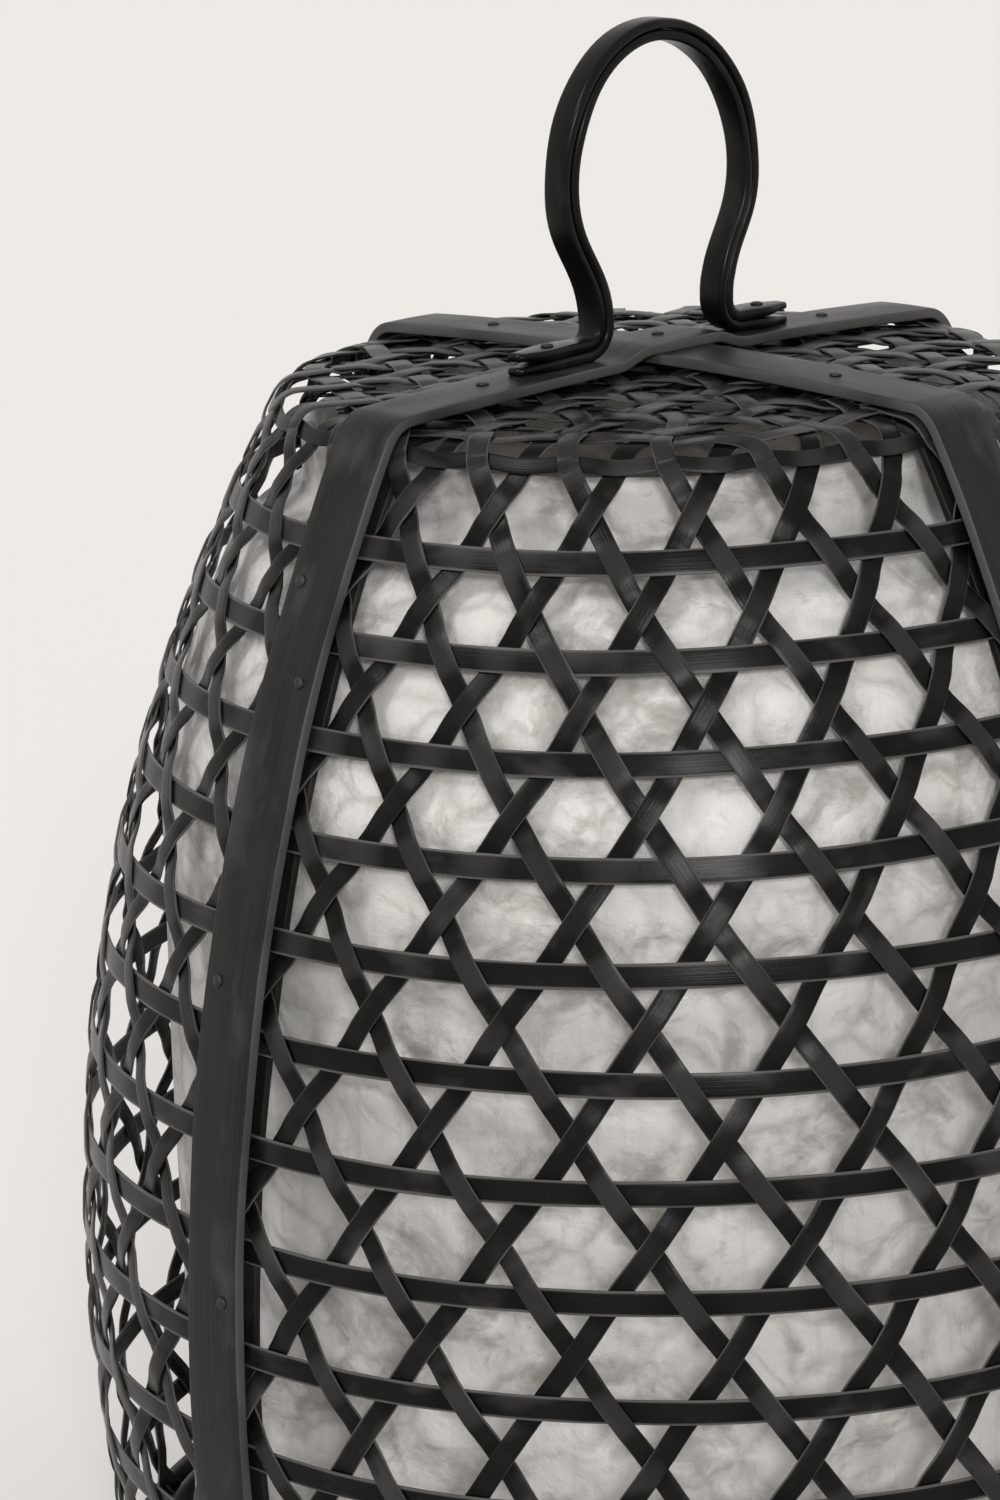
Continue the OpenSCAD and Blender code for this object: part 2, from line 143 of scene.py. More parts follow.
def curve(points, steps):
    """Points 1 to steps of the Bezier curve with three or four (x, z) control points."""
    line = []
    for i in range(1, steps + 1):
        t = i / steps
        if len(points) == 3:
            shares = ((1 - t) ** 2, 2 * t * (1 - t), t * t)
        else:
            shares = ((1 - t) ** 3, 3 * t * (1 - t) ** 2, 3 * t * t * (1 - t), t ** 3)
        line.append(tuple(sum(c * p[q] for c, p in zip(shares, points)) for q in (0, 1)))
    return line


def arc_lengths(points):
    s = [0.0]
    for a, b in zip(points, points[1:]):
        s.append(s[-1] + (b - a).length)
    return s


def join_rings(bm, uv, rings, s, places, seed):
    """Faces and ends of an open tube. UV in metres: u runs along s, v is each corner's place across."""
    k = len(places)
    for i in range(len(rings) - 1):
        for q in range(k):
            p = (q + 1) % k
            f = bm.faces.new((rings[i][q], rings[i + 1][q], rings[i + 1][p], rings[i][p]))
            va, vb = places[q] * MM, places[p] * MM
            for loop, (lu, lv) in zip(f.loops, ((s[i], va), (s[i + 1], va), (s[i + 1], vb), (s[i], vb))):
                loop[uv].uv = (lu * MM + seed, lv)
    for ring in (rings[0], rings[-1][::-1]):
        f = bm.faces.new(ring)
        for loop in f.loops:
            loop[uv].uv = (seed, 0)


def join_rows(bm, rows, count):
    """Faces of a turned shape. A row of one vertex is a point on the axis."""
    for lo, hi in zip(rows, rows[1:]):
        for i in range(count):
            j = (i + 1) % count
            if len(lo) == 1:
                bm.faces.new((lo[0], hi[j], hi[i]))
            elif len(hi) == 1:
                bm.faces.new((lo[i], lo[j], hi[0]))
            else:
                bm.faces.new((lo[i], lo[j], hi[j], hi[i]))


def finish_bm(bm):
    bmesh.ops.recalc_face_normals(bm, faces=bm.faces)


def smooth_step(x):
    x = max(0.0, min(1.0, x))
    return x * x * (3 - 2 * x)


def lift_at(s, marks):
    """Height off the middle surface at arc length s. marks: sorted (s, height, half plateau)."""
    if s <= marks[0][0]:
        return marks[0][1]
    if s >= marks[-1][0]:
        return marks[-1][1]
    after = bisect.bisect_right(marks, s, key=lambda mark: mark[0])
    a, b = marks[after - 1], marks[after]
    start, stop = a[0] + a[2], b[0] - b[2]
    if stop <= start:
        m = (start + stop) / 2
        start, stop = m - 0.5, m + 0.5
    return a[1] + (b[1] - a[1]) * smooth_step((s - start) / (stop - start))


# ------------------------------------------------------------------ materials
def nodes_of(name):
    mat = bpy.data.materials.new(name)
    mat.use_nodes = True
    nt = mat.node_tree
    nt.nodes.clear()
    out = nt.nodes.new("ShaderNodeOutputMaterial")
    bsdf = nt.nodes.new("ShaderNodeBsdfPrincipled")
    nt.links.new(bsdf.outputs[0], out.inputs[0])
    return mat, nt, bsdf


def noise(nt, vector, scale, detail, rough, distortion=0.0):
    n = nt.nodes.new("ShaderNodeTexNoise")
    n.inputs["Scale"].default_value = scale
    n.inputs["Detail"].default_value = detail
    n.inputs["Roughness"].default_value = rough
    n.inputs["Distortion"].default_value = distortion
    nt.links.new(vector, n.inputs["Vector"])
    return n.outputs["Fac"]


def mapped(nt, output, scale):
    tc = nt.nodes.new("ShaderNodeTexCoord")
    mp = nt.nodes.new("ShaderNodeMapping")
    mp.inputs["Scale"].default_value = scale
    nt.links.new(tc.outputs[output], mp.inputs["Vector"])
    return mp.outputs["Vector"]


def ramp(nt, fac, stops):
    r = nt.nodes.new("ShaderNodeValToRGB")
    el = r.color_ramp.elements
    while len(el) < len(stops):
        el.new(0.5)
    for e, (p, c) in zip(el, stops):
        e.position = p
        e.color = (*c, 1) if len(c) == 3 else c
    nt.links.new(fac, r.inputs[0])
    return r.outputs["Color"]


def mix_rgb(nt, kind, fac, a, b):
    m = nt.nodes.new("ShaderNodeMix")
    m.data_type = "RGBA"
    m.blend_type = kind
    for value, socket in ((fac, m.inputs[0]), (a, m.inputs[6]), (b, m.inputs[7])):
        if hasattr(value, "links"):
            nt.links.new(value, socket)
        elif isinstance(value, tuple):
            socket.default_value = (*value, 1)
        else:
            socket.default_value = value
    return m.outputs[2]


def map_range(nt, value, lo, hi, a=0.0, b=1.0):
    m = nt.nodes.new("ShaderNodeMapRange")
    m.inputs[1].default_value = a
    m.inputs[2].default_value = b
    m.inputs[3].default_value = lo
    m.inputs[4].default_value = hi
    nt.links.new(value, m.inputs[0])
    return m.outputs[0]


def math_node(nt, operation, *values):
    m = nt.nodes.new("ShaderNodeMath")
    m.operation = operation
    for value, socket in zip(values, m.inputs):
        if hasattr(value, "links"):
            nt.links.new(value, socket)
        else:
            socket.default_value = value
    return m.outputs[0]


def add(nt, a, b, scale_b):
    return math_node(nt, "MULTIPLY_ADD", b, scale_b, a)


def bump(nt, height, distance):
    b = nt.nodes.new("ShaderNodeBump")
    b.inputs["Strength"].default_value = 1.0
    b.inputs["Distance"].default_value = distance
    nt.links.new(height, b.inputs["Height"])
    return b.outputs["Normal"]


# near-black of the bamboo's knots, and of the painted shade in the weave's low spots
KNOT_AND_SHADE_BLACK = (0.0012, 0.0012, 0.0012)


def lacquer(name, dark, light, fibre, rough, coat, grain_mm, shine, sheen_and_wear_gain, edge=None):
    """Black lacquer on split bamboo: fibres along the strip, soft patches of painted sheen mixed with rubbed
    lacquer, painted highlight on the weave's high spots and painted shade in its low spots, a few pale specks.
    The gain argument is how many times lighter than light the painted sheen and rubbed patches get, edge where
    the painted edge highlight begins."""
    mat, nt, bsdf = nodes_of(name)
    along = mapped(nt, "UV", (14.0, 1000.0 / grain_mm, 1.0))
    patch = mapped(nt, "UV", (28.0, 90.0, 1.0))
    speck = mapped(nt, "Object", (1.0, 1.0, 1.0))
    fine = noise(nt, along, 1.0, 6.0, 0.6)
    soft = noise(nt, patch, 1.0, 3.0, 0.5)
    dots = noise(nt, speck, 900.0, 2.0, 0.6)
    tone = add(nt, map_range(nt, fine, 0.0, 0.55), soft, 0.45)
    col = ramp(nt, tone, [(0.25, dark), (0.75, light)])
    pale = map_range(nt, dots, 0.0, 0.30, 0.70, 0.80)
    col = mix_rgb(nt, "MIX", pale, col, (0.06, 0.057, 0.053))
    # painted sheen: soft lighter patches along the strips, mixed with lacquer rubbed thin
    sheen_and_wear_patches = map_range(nt, noise(nt, mapped(nt, "UV", (34.0, 60.0, 1.0)), 1.0, 3.0, 0.5), 0.0, 0.8, 0.54, 0.74)
    sheen_and_wear_grey = tuple(c * sheen_and_wear_gain for c in light)
    col = mix_rgb(nt, "MIX", sheen_and_wear_patches, col, sheen_and_wear_grey)
    knots = nt.nodes.new("ShaderNodeTexVoronoi")
    knots.inputs["Scale"].default_value = 1.0
    nt.links.new(mapped(nt, "UV", (11.0, 55.0, 1.0)), knots.inputs["Vector"])
    near_knot = map_range(nt, knots.outputs["Distance"], 0.85, 0.0, 0.02, 0.10)
    col = mix_rgb(nt, "MIX", near_knot, col, KNOT_AND_SHADE_BLACK)
    # painted highlight: the high spots of the weave are painted a soft grey, and painted shade keeps the low
    # ones, where a strip dives under another, black
    height = nt.nodes.new("ShaderNodeAttribute")
    height.attribute_name = "rise"
    high = add(nt, height.outputs["Fac"], soft, 0.5)
    col = mix_rgb(nt, "MIX", map_range(nt, high, 0.0, 0.42, 0.66, 1.15), col, sheen_and_wear_grey)
    low = map_range(nt, height.outputs["Fac"], 0.9, 0.0, -0.75, -0.15)
    col = mix_rgb(nt, "MIX", low, col, KNOT_AND_SHADE_BLACK)
    if edge:
        # a painted highlight along both edges, over lacquer rubbed thin there
        sep = nt.nodes.new("ShaderNodeSeparateXYZ")
        nt.links.new(mapped(nt, "UV", (1.0, 1.0, 1.0)), sep.inputs[0])
        edge_offset = add(nt, math_node(nt, "ABSOLUTE", sep.outputs[1]), soft, 0.0012)
        edge_highlight_mask = map_range(nt, edge_offset, 0.0, 0.8, edge, edge + 0.0004)
        col = mix_rgb(nt, "MIX", edge_highlight_mask, col, tuple(c * 1.8 for c in sheen_and_wear_grey))
    nt.links.new(col, bsdf.inputs["Base Color"])
    dull = map_range(nt, add(nt, soft, fine, 0.4), rough[0], rough[1], 0.35, 1.05)
    nt.links.new(dull, bsdf.inputs["Roughness"])
    bsdf.inputs["Specular IOR Level"].default_value = shine
    bsdf.inputs["Coat Weight"].default_value = coat
    bsdf.inputs["Coat Roughness"].default_value = 0.25
    relief = add(nt, fine, dots, 0.35)
    nt.links.new(bump(nt, relief, fibre), bsdf.inputs["Normal"])
    return mat


splint = lacquer("splint_lacquer", (0.0018, 0.0018, 0.0017), (0.009, 0.0087, 0.0083),
                 0.00006, (0.20, 0.34), 0.0, 0.45, 0.10, 6.0, 0.0030)
flat_bamboo = lacquer("rib_lacquer", (0.002, 0.002, 0.0019), (0.020, 0.0195, 0.0185),
                      0.00012, (0.26, 0.50), 0.0, 0.8, 0.15, 3.0)
rib_bamboo = lacquer("strap_lacquer", (0.002, 0.002, 0.0019), (0.022, 0.0215, 0.0205),
                     0.00012, (0.26, 0.50), 0.0, 0.8, 0.15, 2.2, 0.0097)
bent_bamboo = lacquer("handle_lacquer", (0.0018, 0.0018, 0.0017), (0.006, 0.0058, 0.0055),
                      0.00008, (0.16, 0.30), 0.06, 0.7, 0.09, 4.0)


def mottled(name, scale, detail, rough, stops, depth):
    """A material whose colour and relief follow one noise: its nodes, and the noise for more."""
    mat, nt, bsdf = nodes_of(name)
    n = noise(nt, mapped(nt, "Object", (1.0, 1.0, 1.0)), scale, detail, rough)
    nt.links.new(ramp(nt, n, stops), bsdf.inputs["Base Color"])
    nt.links.new(bump(nt, n, depth), bsdf.inputs["Normal"])
    return mat, nt, bsdf, n


def iron():
    stops = [(0.3, (0.015, 0.015, 0.015)), (0.8, (0.06, 0.055, 0.05))]
    mat, nt, bsdf, n = mottled("black_iron", 1400.0, 4.0, 0.6, stops, 0.00008)
    bsdf.inputs["Metallic"].default_value = 0.7
    nt.links.new(map_range(nt, n, 0.35, 0.6), bsdf.inputs["Roughness"])
    return mat


def cloudy_glass():
    """Thick hand-blown glass: milky flakes with grey edges and veins and fine streaks, wavy."""
    mat, nt, bsdf = nodes_of("cloudy_glass")
    out = next(n for n in nt.nodes if n.type == "OUTPUT_MATERIAL")
    base = mapped(nt, "Object", (1.0, 1.0, 1.25))
    warp = nt.nodes.new("ShaderNodeTexNoise")
    warp.inputs["Scale"].default_value = 38.0
    warp.inputs["Detail"].default_value = 6.0
    nt.links.new(base, warp.inputs["Vector"])
    bent = nt.nodes.new("ShaderNodeVectorMath")
    bent.operation = "MULTIPLY_ADD"
    nt.links.new(warp.outputs["Color"], bent.inputs[0])
    bent.inputs[1].default_value = (0.028, 0.028, 0.028)
    nt.links.new(base, bent.inputs[2])
    flakes = nt.nodes.new("ShaderNodeTexVoronoi")
    flakes.feature = "DISTANCE_TO_EDGE"
    flakes.inputs["Scale"].default_value = 46.0
    nt.links.new(bent.outputs[0], flakes.inputs["Vector"])
    edge = flakes.outputs["Distance"]
    clouds = noise(nt, bent.outputs[0], 30.0, 9.0, 0.66, 0.4)
    veins = noise(nt, base, 58.0, 10.0, 0.72, 1.6)
    wide = noise(nt, base, 11.0, 3.0, 0.5, 0.3)
    grain = noise(nt, mapped(nt, "Object", (240.0, 240.0, 34.0)), 1.0, 6.0, 0.65)
    milk = ramp(nt, clouds, [(0.33, (0.46, 0.44, 0.415)), (0.41, (0.70, 0.682, 0.655)),
                             (0.47, (0.90, 0.882, 0.855)), (0.70, (0.93, 0.917, 0.895))])
    rim_of_flake = math_node(nt, "MULTIPLY", map_range(nt, edge, 0.62, 0.0, 0.0, 0.15),
                             map_range(nt, clouds, 1.0, 0.30, 0.42, 0.62))
    col = mix_rgb(nt, "MIX", rim_of_flake, milk, (0.40, 0.385, 0.36))
    grey = map_range(nt, veins, 0.0, 0.42, 0.55, 0.68)
    col = mix_rgb(nt, "MIX", grey, col, (0.30, 0.285, 0.265))
    shade = map_range(nt, wide, 0.0, 0.45, 0.45, 0.72)
    col = mix_rgb(nt, "MULTIPLY", shade, col, (0.90, 0.885, 0.86))
    streak = map_range(nt, grain, 0.0, 0.30, 0.52, 0.72)
    col = mix_rgb(nt, "MIX", streak, col, (0.50, 0.48, 0.455))
    nt.links.new(col, bsdf.inputs["Base Color"])
    nt.links.new(map_range(nt, clouds, 0.12, 0.34, 0.35, 0.75), bsdf.inputs["Roughness"])
    bsdf.inputs["IOR"].default_value = 1.45
    normal = bump(nt, add(nt, add(nt, clouds, veins, 0.5), edge, 0.6), 0.0016)
    nt.links.new(normal, bsdf.inputs["Normal"])
    glow = nt.nodes.new("ShaderNodeBsdfTranslucent")
    nt.links.new(col, glow.inputs["Color"])
    mixed = nt.nodes.new("ShaderNodeMixShader")
    mixed.inputs[0].default_value = 0.24
    nt.links.new(bsdf.outputs[0], mixed.inputs[1])
    nt.links.new(glow.outputs[0], mixed.inputs[2])
    nt.links.new(mixed.outputs[0], out.inputs[0])
    return mat


def wax():
    stops = [(0.3, (0.80, 0.74, 0.62)), (0.7, (0.90, 0.86, 0.76))]
    mat, _, bsdf, _ = mottled("ivory_wax", 60.0, 4.0, 0.5, stops, 0.0005)
    bsdf.inputs["Subsurface Weight"].default_value = 0.3
    bsdf.inputs["Subsurface Radius"].default_value = (0.01, 0.006, 0.003)
    bsdf.inputs["Roughness"].default_value = 0.5
    return mat


def cotton():
    stops = [(0.3, (0.03, 0.025, 0.02)), (0.8, (0.30, 0.26, 0.20))]
    mat, _, bsdf, _ = mottled("singed_cotton", 2500.0, 3.0, 0.6, stops, 0.0003)
    bsdf.inputs["Roughness"].default_value = 0.9
    return mat


nail_metal, glass, wax_mat, cotton_mat = iron(), cloudy_glass(), wax(), cotton()


# ------------------------------------------------------------------ the shoulder and the flat top as one skin
TURN_BEND, SIDE_END = 7.3, 1.2  # radius of the bend, and how far past the shoulder hoop it starts
EDGE_R, EDGE_Z = SHOULDER_R - SIDE_END * math.sin(SHOULDER_A), SHOULDER_Z + SIDE_END * math.cos(SHOULDER_A)
BEND_X, BEND_Z = EDGE_R - TURN_BEND * math.cos(SHOULDER_A), EDGE_Z - TURN_BEND * math.sin(SHOULDER_A)
FLAT_R = BEND_X + TURN_BEND * math.cos(math.radians(86.8))


def skin(x, y):
    """Middle surface over a plan position inside the shoulder hoop: point and outward normal."""
    rho = math.hypot(x, y)
    cx, cy = (x / rho, y / rho) if rho > 1e-6 else (1.0, 0.0)
    if rho <= FLAT_R:
        slope = 2 * DOME * rho / SHOULDER_R ** 2
        n = Vector((slope * cx, slope * cy, 1)).normalized()
        return Vector((x, y, top_z(rho))), n
    if rho <= EDGE_R:
        b = math.acos((rho - BEND_X) / TURN_BEND)
        out = Vector((math.cos(b) * cx, math.cos(b) * cy, math.sin(b)))
        return Vector((x, y, BEND_Z + TURN_BEND * math.sin(b))), out
    z = SHOULDER_Z + (SHOULDER_R - rho) / math.tan(SHOULDER_A)
    flat = math.cos(SHOULDER_A)
    return Vector((x, y, z)), Vector((flat * cx, flat * cy, math.sin(SHOULDER_A)))


# ------------------------------------------------------------------ the long splints: side, top, side
rng = random.Random(7)
PAIR_LIFT, HOOP_LIFT = 0.46, 0.80
CROSS_HALF, HOOP_HALF = 3.2, 3.6
DENSE = 7                       # samples in half a row
LEAN = math.radians(26.6)       # how far a side strip leans where it meets the top
ROW_SHIFT = 1 / 6               # shift of a set of parallel top strips off the axis, in pitches
RUN_IN, SHORT_RUN_IN = 30, 22   # how far from the edge a top strip starts to turn; short from 70 mm out
CURVE_PULL, CURVE_STEPS, TOP_STEP = 0.36, 26, 1.6


def side_start(lean, j):
    return TURN - lean * STEP / 2 + 2 * STEP * j


def side_path(lean, j):
    """From the shoulder hoop down to the rim: (point, out, mark) triples."""
    start = side_start(lean, j)
    path = []
    n = int(2 * ROWS * DENSE + 3)
    for i in range(n):
        u = i / (2 * DENSE)
        az = math.radians(start + lean * u * STEP)
        a = row_angle(u)
        mark = None
        if i % DENSE == 0 and u <= ROWS:
            mark = (lean * HOOP_LIFT, HOOP_HALF) if i % (2 * DENSE) == 0 else (-lean * PAIR_LIFT, CROSS_HALF)
        path.append((side_point(a, az, 0), side_out(a, az), mark))
    return path


# where the straight strips of the top reach the edge, and the side strip that each end runs on into
ends = []
for f in range(3):
    for row in range(-4, 5):
        y = (row + ROW_SHIFT) * PITCH
        for way in (1, -1):
            out_dir = 120 * f + TURN + (0 if way == 1 else 180)
            s = math.sqrt(SHOULDER_R ** 2 - y * y)
            base = math.radians(120 * f + TURN)
            px = way * s * math.cos(base) - y * math.sin(base)
            py = way * s * math.sin(base) + y * math.cos(base)
            theta = math.degrees(math.atan2(py, px))
            turn = (theta - out_dir + 180) % 360 - 180
            ends.append({"key": (f, row, way), "theta": theta % 360, "lean": -1 if turn > 0 else 1})
match = {}
for lean in (-1, 1):
    mine = sorted((e for e in ends if e["lean"] == lean), key=lambda e: e["theta"])
    targets = sorted((side_start(lean, j) % 360, j) for j in range(STRIPS))
    best = None
    for shift in range(STRIPS):
        cost = sum(((e["theta"] - targets[(i + shift) % STRIPS][0] + 180) % 360 - 180) ** 2
                   for i, e in enumerate(mine))
        if best is None or cost < best[0]:
            best = (cost, shift)
    for i, e in enumerate(mine):
        match[e["key"]] = (lean, targets[(i + best[1]) % STRIPS][1])


def top_plan(f, row):
    """Plan line of one strip over the top, from side strip to side strip."""
    y = (row + ROW_SHIFT) * PITCH
    base = math.radians(120 * f + TURN)
    d = Vector((math.cos(base), math.sin(base)))
    n = Vector((-math.sin(base), math.cos(base)))
    s_end = math.sqrt(SHOULDER_R ** 2 - y * y)
    straight = max(6.0, s_end - (RUN_IN if abs(y) < 70 else SHORT_RUN_IN))
    pieces = []
    for way in (-1, 1):
        lean, j = match[(f, row, way)]
        az = math.radians(side_start(lean, j))
        radial = Vector((math.cos(az), math.sin(az)))
        # inward direction that carries on the side strip's lean
        ang = LEAN * lean
        inward = -radial
        inward = Vector((inward.x * math.cos(ang) - inward.y * math.sin(ang),
                         inward.x * math.sin(ang) + inward.y * math.cos(ang)))
        p0 = radial * SHOULDER_R
        p3 = d * (way * straight) + n * y
        span = (p3 - p0).length
        p1 = p0 + inward * span * CURVE_PULL
        p2 = p3 + d * (way * span * CURVE_PULL)
        pieces.append([p0 * (1 - t) ** 3 + p1 * 3 * t * (1 - t) ** 2 + p2 * 3 * t * t * (1 - t) + p3 * t ** 3
                       for t in (k / CURVE_STEPS for k in range(CURVE_STEPS + 1))])
    a, b = pieces
    mid_n = max(2, int(2 * straight / TOP_STEP))
    middle = [a[-1].lerp(b[-1], k / mid_n) for k in range(1, mid_n)]
    return a + middle + b[::-1]


plans = {(f, row): top_plan(f, row) for f in range(3) for row in range(-4, 5)}


def crossings(p, q):
    """Intersections of two plan lines: positions along p as fractional indices."""
    hits = []
    qb = [(min(c.x, d.x), max(c.x, d.x), min(c.y, d.y), max(c.y, d.y)) for c, d in zip(q, q[1:])]
    for i in range(len(p) - 1):
        a, b = p[i], p[i + 1]
        x0, x1, y0, y1 = min(a.x, b.x), max(a.x, b.x), min(a.y, b.y), max(a.y, b.y)
        for j, (u0, u1, v0, v1) in enumerate(qb):
            if x1 < u0 or u1 < x0 or y1 < v0 or v1 < y0:
                continue
            c, d = q[j], q[j + 1]
            r, s = b - a, d - c
            den = r.x * s.y - r.y * s.x
            if abs(den) < 1e-9:
                continue
            t = ((c.x - a.x) * s.y - (c.y - a.y) * s.x) / den
            w = ((c.x - a.x) * r.y - (c.y - a.y) * r.x) / den
            if 0 <= t < 1 and 0 <= w < 1:
                hits.append(i + t)
    return hits


keys = list(plans)
top_marks = {k: [] for k in keys}
for k in keys:
    for m in keys:
        if k[0] == m[0]:
            continue
        over = (k[0] - m[0]) % 3 == 1
        for at in crossings(plans[k], plans[m]):
            top_marks[k].append((at, PAIR_LIFT if over else -PAIR_LIFT))


def build_long_strip(key, bms):
    f, row = key
    plan = plans[key]
    sides = [side_path(*match[(f, row, way)]) for way in (-1, 1)]
    path, marks = [], []
    first = sides[0][::-1]
    path += [(p, o) for p, o, m in first]
    marks += [(i, m) for i, (p, o, m) in enumerate(first) if m]
    offset = len(path) - 1
    for xy in plan[1:-1]:
        path.append(skin(xy.x, xy.y))
    for at, h in sorted(top_marks[key]):
        if 1.5 < at < len(plan) - 2.5:
            marks.append((offset + at, (h, CROSS_HALF)))
    base = len(path)
    path += [(p, o) for p, o, m in sides[1]]
    marks += [(base + i, m) for i, (p, o, m) in enumerate(sides[1]) if m]
    s = arc_lengths([p for p, o in path])

    def at_index(x):
        i = min(int(x), len(s) - 2)
        return s[i] + (s[i + 1] - s[i]) * (x - i)

    timeline = sorted((at_index(i), m[0], m[1]) for i, m in marks)
    wob = [rng.uniform(0, 6.28) for _ in range(4)]
    width = STRIP_W * rng.uniform(0.96, 1.05)
    section = profile(width, STRIP_T)
    seed = rng.uniform(0, 9)
    rise = [lift_at(at, timeline) for at in s]
    pts = [p + o * h for (p, o), h in zip(path, rise)]
    outs = [o for p, o in path]
    n = len(pts)
    across = []
    for i in range(n):
        t = (pts[min(i + 1, n - 1)] - pts[max(i - 1, 0)]).normalized()
        a = t.cross(outs[i]).normalized()
        across.append(a)
        outs[i] = a.cross(t).normalized()
    moved = []
    for i in range(n):
        side_shift = 0.22 * math.sin(s[i] / 17 + wob[0]) + 0.16 * math.sin(s[i] / 7.3 + wob[1])
        moved.append(pts[i] + across[i] * side_shift)
    cut = [0, len(sides[0]) - 1, base, n - 1]
    for part in range(3):
        lo, hi = cut[part], cut[part + 1]
        lean = match[(f, row, -1 if part == 0 else 1)][0] if part != 1 else None
        target = bms["top_%d" % f] if part == 1 else bms["right" if lean == -1 else "left"]
        bm, uv = target
        span = slice(lo, hi + 1)
        sweep(bm, uv, moved[span], across[span], outs[span], section, seed, rise[span])


def fresh():
    bm = bmesh.new()
    bm.verts.layers.float.new("rise")
    return bm, bm.loops.layers.uv.new("UVMap")


bms = {k: fresh() for k in ("right", "left", "top_0", "top_1", "top_2")}
for key in keys:
    build_long_strip(key, bms)

# the second layer of the top: thinner strips between the main ones, woven among themselves under them
FILL_LIFT, FILL_WEAVE, FILL_REACH = -1.25, 0.22, 89.0
FILL_SHIFT = 0.55               # no three of them cross at one point
FILL_W, FILL_T, FILL_HALF = 3.3, 0.4, 2.6
FILL_LAST, FILL_STEP = 80, 1.8  # no row further out than this, and the length of one sample


def filler(f, row):
    y = (row + FILL_SHIFT) * PITCH
    if abs(y) > FILL_LAST:
        return
    reach = math.sqrt(FILL_REACH ** 2 - y * y)
    base = math.radians(120 * f + TURN)
    d = Vector((math.cos(base), math.sin(base)))
    m = Vector((-math.sin(base), math.cos(base)))
    marks = []
    for g in (1, 2):
        turn = math.radians(120 * g)
        for other in range(-5, 5):
            oy = (other + FILL_SHIFT) * PITCH
            at = (y * math.cos(turn) - oy) / math.sin(turn)
            marks.append((at, FILL_WEAVE if g == 1 else -FILL_WEAVE, FILL_HALF))
    marks.sort()
    ph = rng.uniform(0, 6.28)
    steps = int(2 * reach / FILL_STEP)
    pts, outs, across = [], [], []
    for i in range(steps + 1):
        x = -reach + 2 * reach * i / steps
        p, o = skin(*(d * x + m * (y + 0.3 * math.sin(x / 15 + ph))))
        pts.append(p + o * (FILL_LIFT + lift_at(x, marks)))
        outs.append(o)
        across.append(Vector((d.x, d.y, 0)).cross(o).normalized())
    section = profile(FILL_W * rng.uniform(0.92, 1.08), FILL_T, 0.12, 0.0)
    sweep(*bms["top_%d" % f], pts, across, outs, section, rng.uniform(0, 9))


for f in range(3):
    for row in range(-5, 5):
        filler(f, row)
for tag, name, node in (("right", "right_leaning_splints", "right_leaning_strips"),
                        ("left", "left_leaning_splints", "left_leaning_strips"),
                        ("top_0", "top_splints_1", "top_strips_1"),
                        ("top_1", "top_splints_2", "top_strips_2"),
                        ("top_2", "top_splints_3", "top_strips_3")):
    finish_bm(bms[tag][0])
    piece = new_object(name, bms[tag][0], splint)
    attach(piece, "basket")
    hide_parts(node)


# ------------------------------------------------------------------ hoops
def ring_sweep(bm, uv, angle, width, thick, radial, vertical, seed):
    pts, outs, across, rise = [], [], [], []
    for i in range(HOOP_SAMPLES):
        az = 2 * math.pi * i / HOOP_SAMPLES
        out = side_out(angle, az)
        up = Vector((-math.sin(angle) * math.cos(az), -math.sin(angle) * math.sin(az), math.cos(angle)))
        pts.append(side_point(angle, az, radial(math.degrees(az))) + up * vertical(math.degrees(az)))
        outs.append(out)
        across.append(up)
        # the rise attribute here drives the painted highlight and painted shade, not the hoop's shape
        rise.append(HOOP_SHEEN_GAIN * radial(math.degrees(az)))
    sweep(bm, uv, pts, across, outs, profile(width, thick), seed, rise, closed=True)


for index in range(ROWS + 1):
    bm, uv = fresh()
    phase = rng.uniform(0, 6.28)
    left_at = TURN - STEP / 2 + index * STEP

    def radial(az):
        # pushed in under the left-leaning strips, out over the right-leaning ones
        k = math.radians((az - left_at) * 360 / (2 * STEP))
        return -0.12 * math.cos(k) + 0.1 * math.sin(math.radians(az * 2) + phase)

    def vertical(az):
        if index == 0:
            return 0.5 * math.cos(math.radians((az - left_at) * 360 / (2 * STEP))) + 0.6
        return 0.35 * math.sin(math.radians(az * 3) + phase) + 0.2 * math.sin(math.radians(az * 7) + 2 * phase)
    width = SHOULDER_HOOP_W if index == 0 else HOOP_W
    ring_sweep(bm, uv, row_angle(index), width, STRIP_T, radial, vertical, rng.uniform(0, 9))
    finish_bm(bm)
    piece = new_object("splint_hoop_%02d" % (index + 1), bm, splint)
    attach(piece, "basket")
    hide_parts("hoop_%02d" % (index + 1))


# ------------------------------------------------------------------ ribs
HOOP_HIGH = 1.4 + 0.3          # how far the weave stands off its middle surface in the CAD
TOP_HIGH = 1.2 + 0.3
GAP = 0.2
RIB_T, RIB_W = 2.6, 19.0
IN_T, IN_W = 2.0, 17.0
RIM_H = 13.0
RIB_GAP, RIB_IN = 0.15, 0.6     # between two ribs, and between the weave and an inner rib


def rib_top(x, lift, rise, width):
    fade, end = 12.0, width / 2 + 2 + 12
    k = 1.0 if x < end - fade else 0.0 if x > end else (1 - math.cos(math.pi * (end - x) / fade)) / 2
    return top_z(x) + lift + rise * k


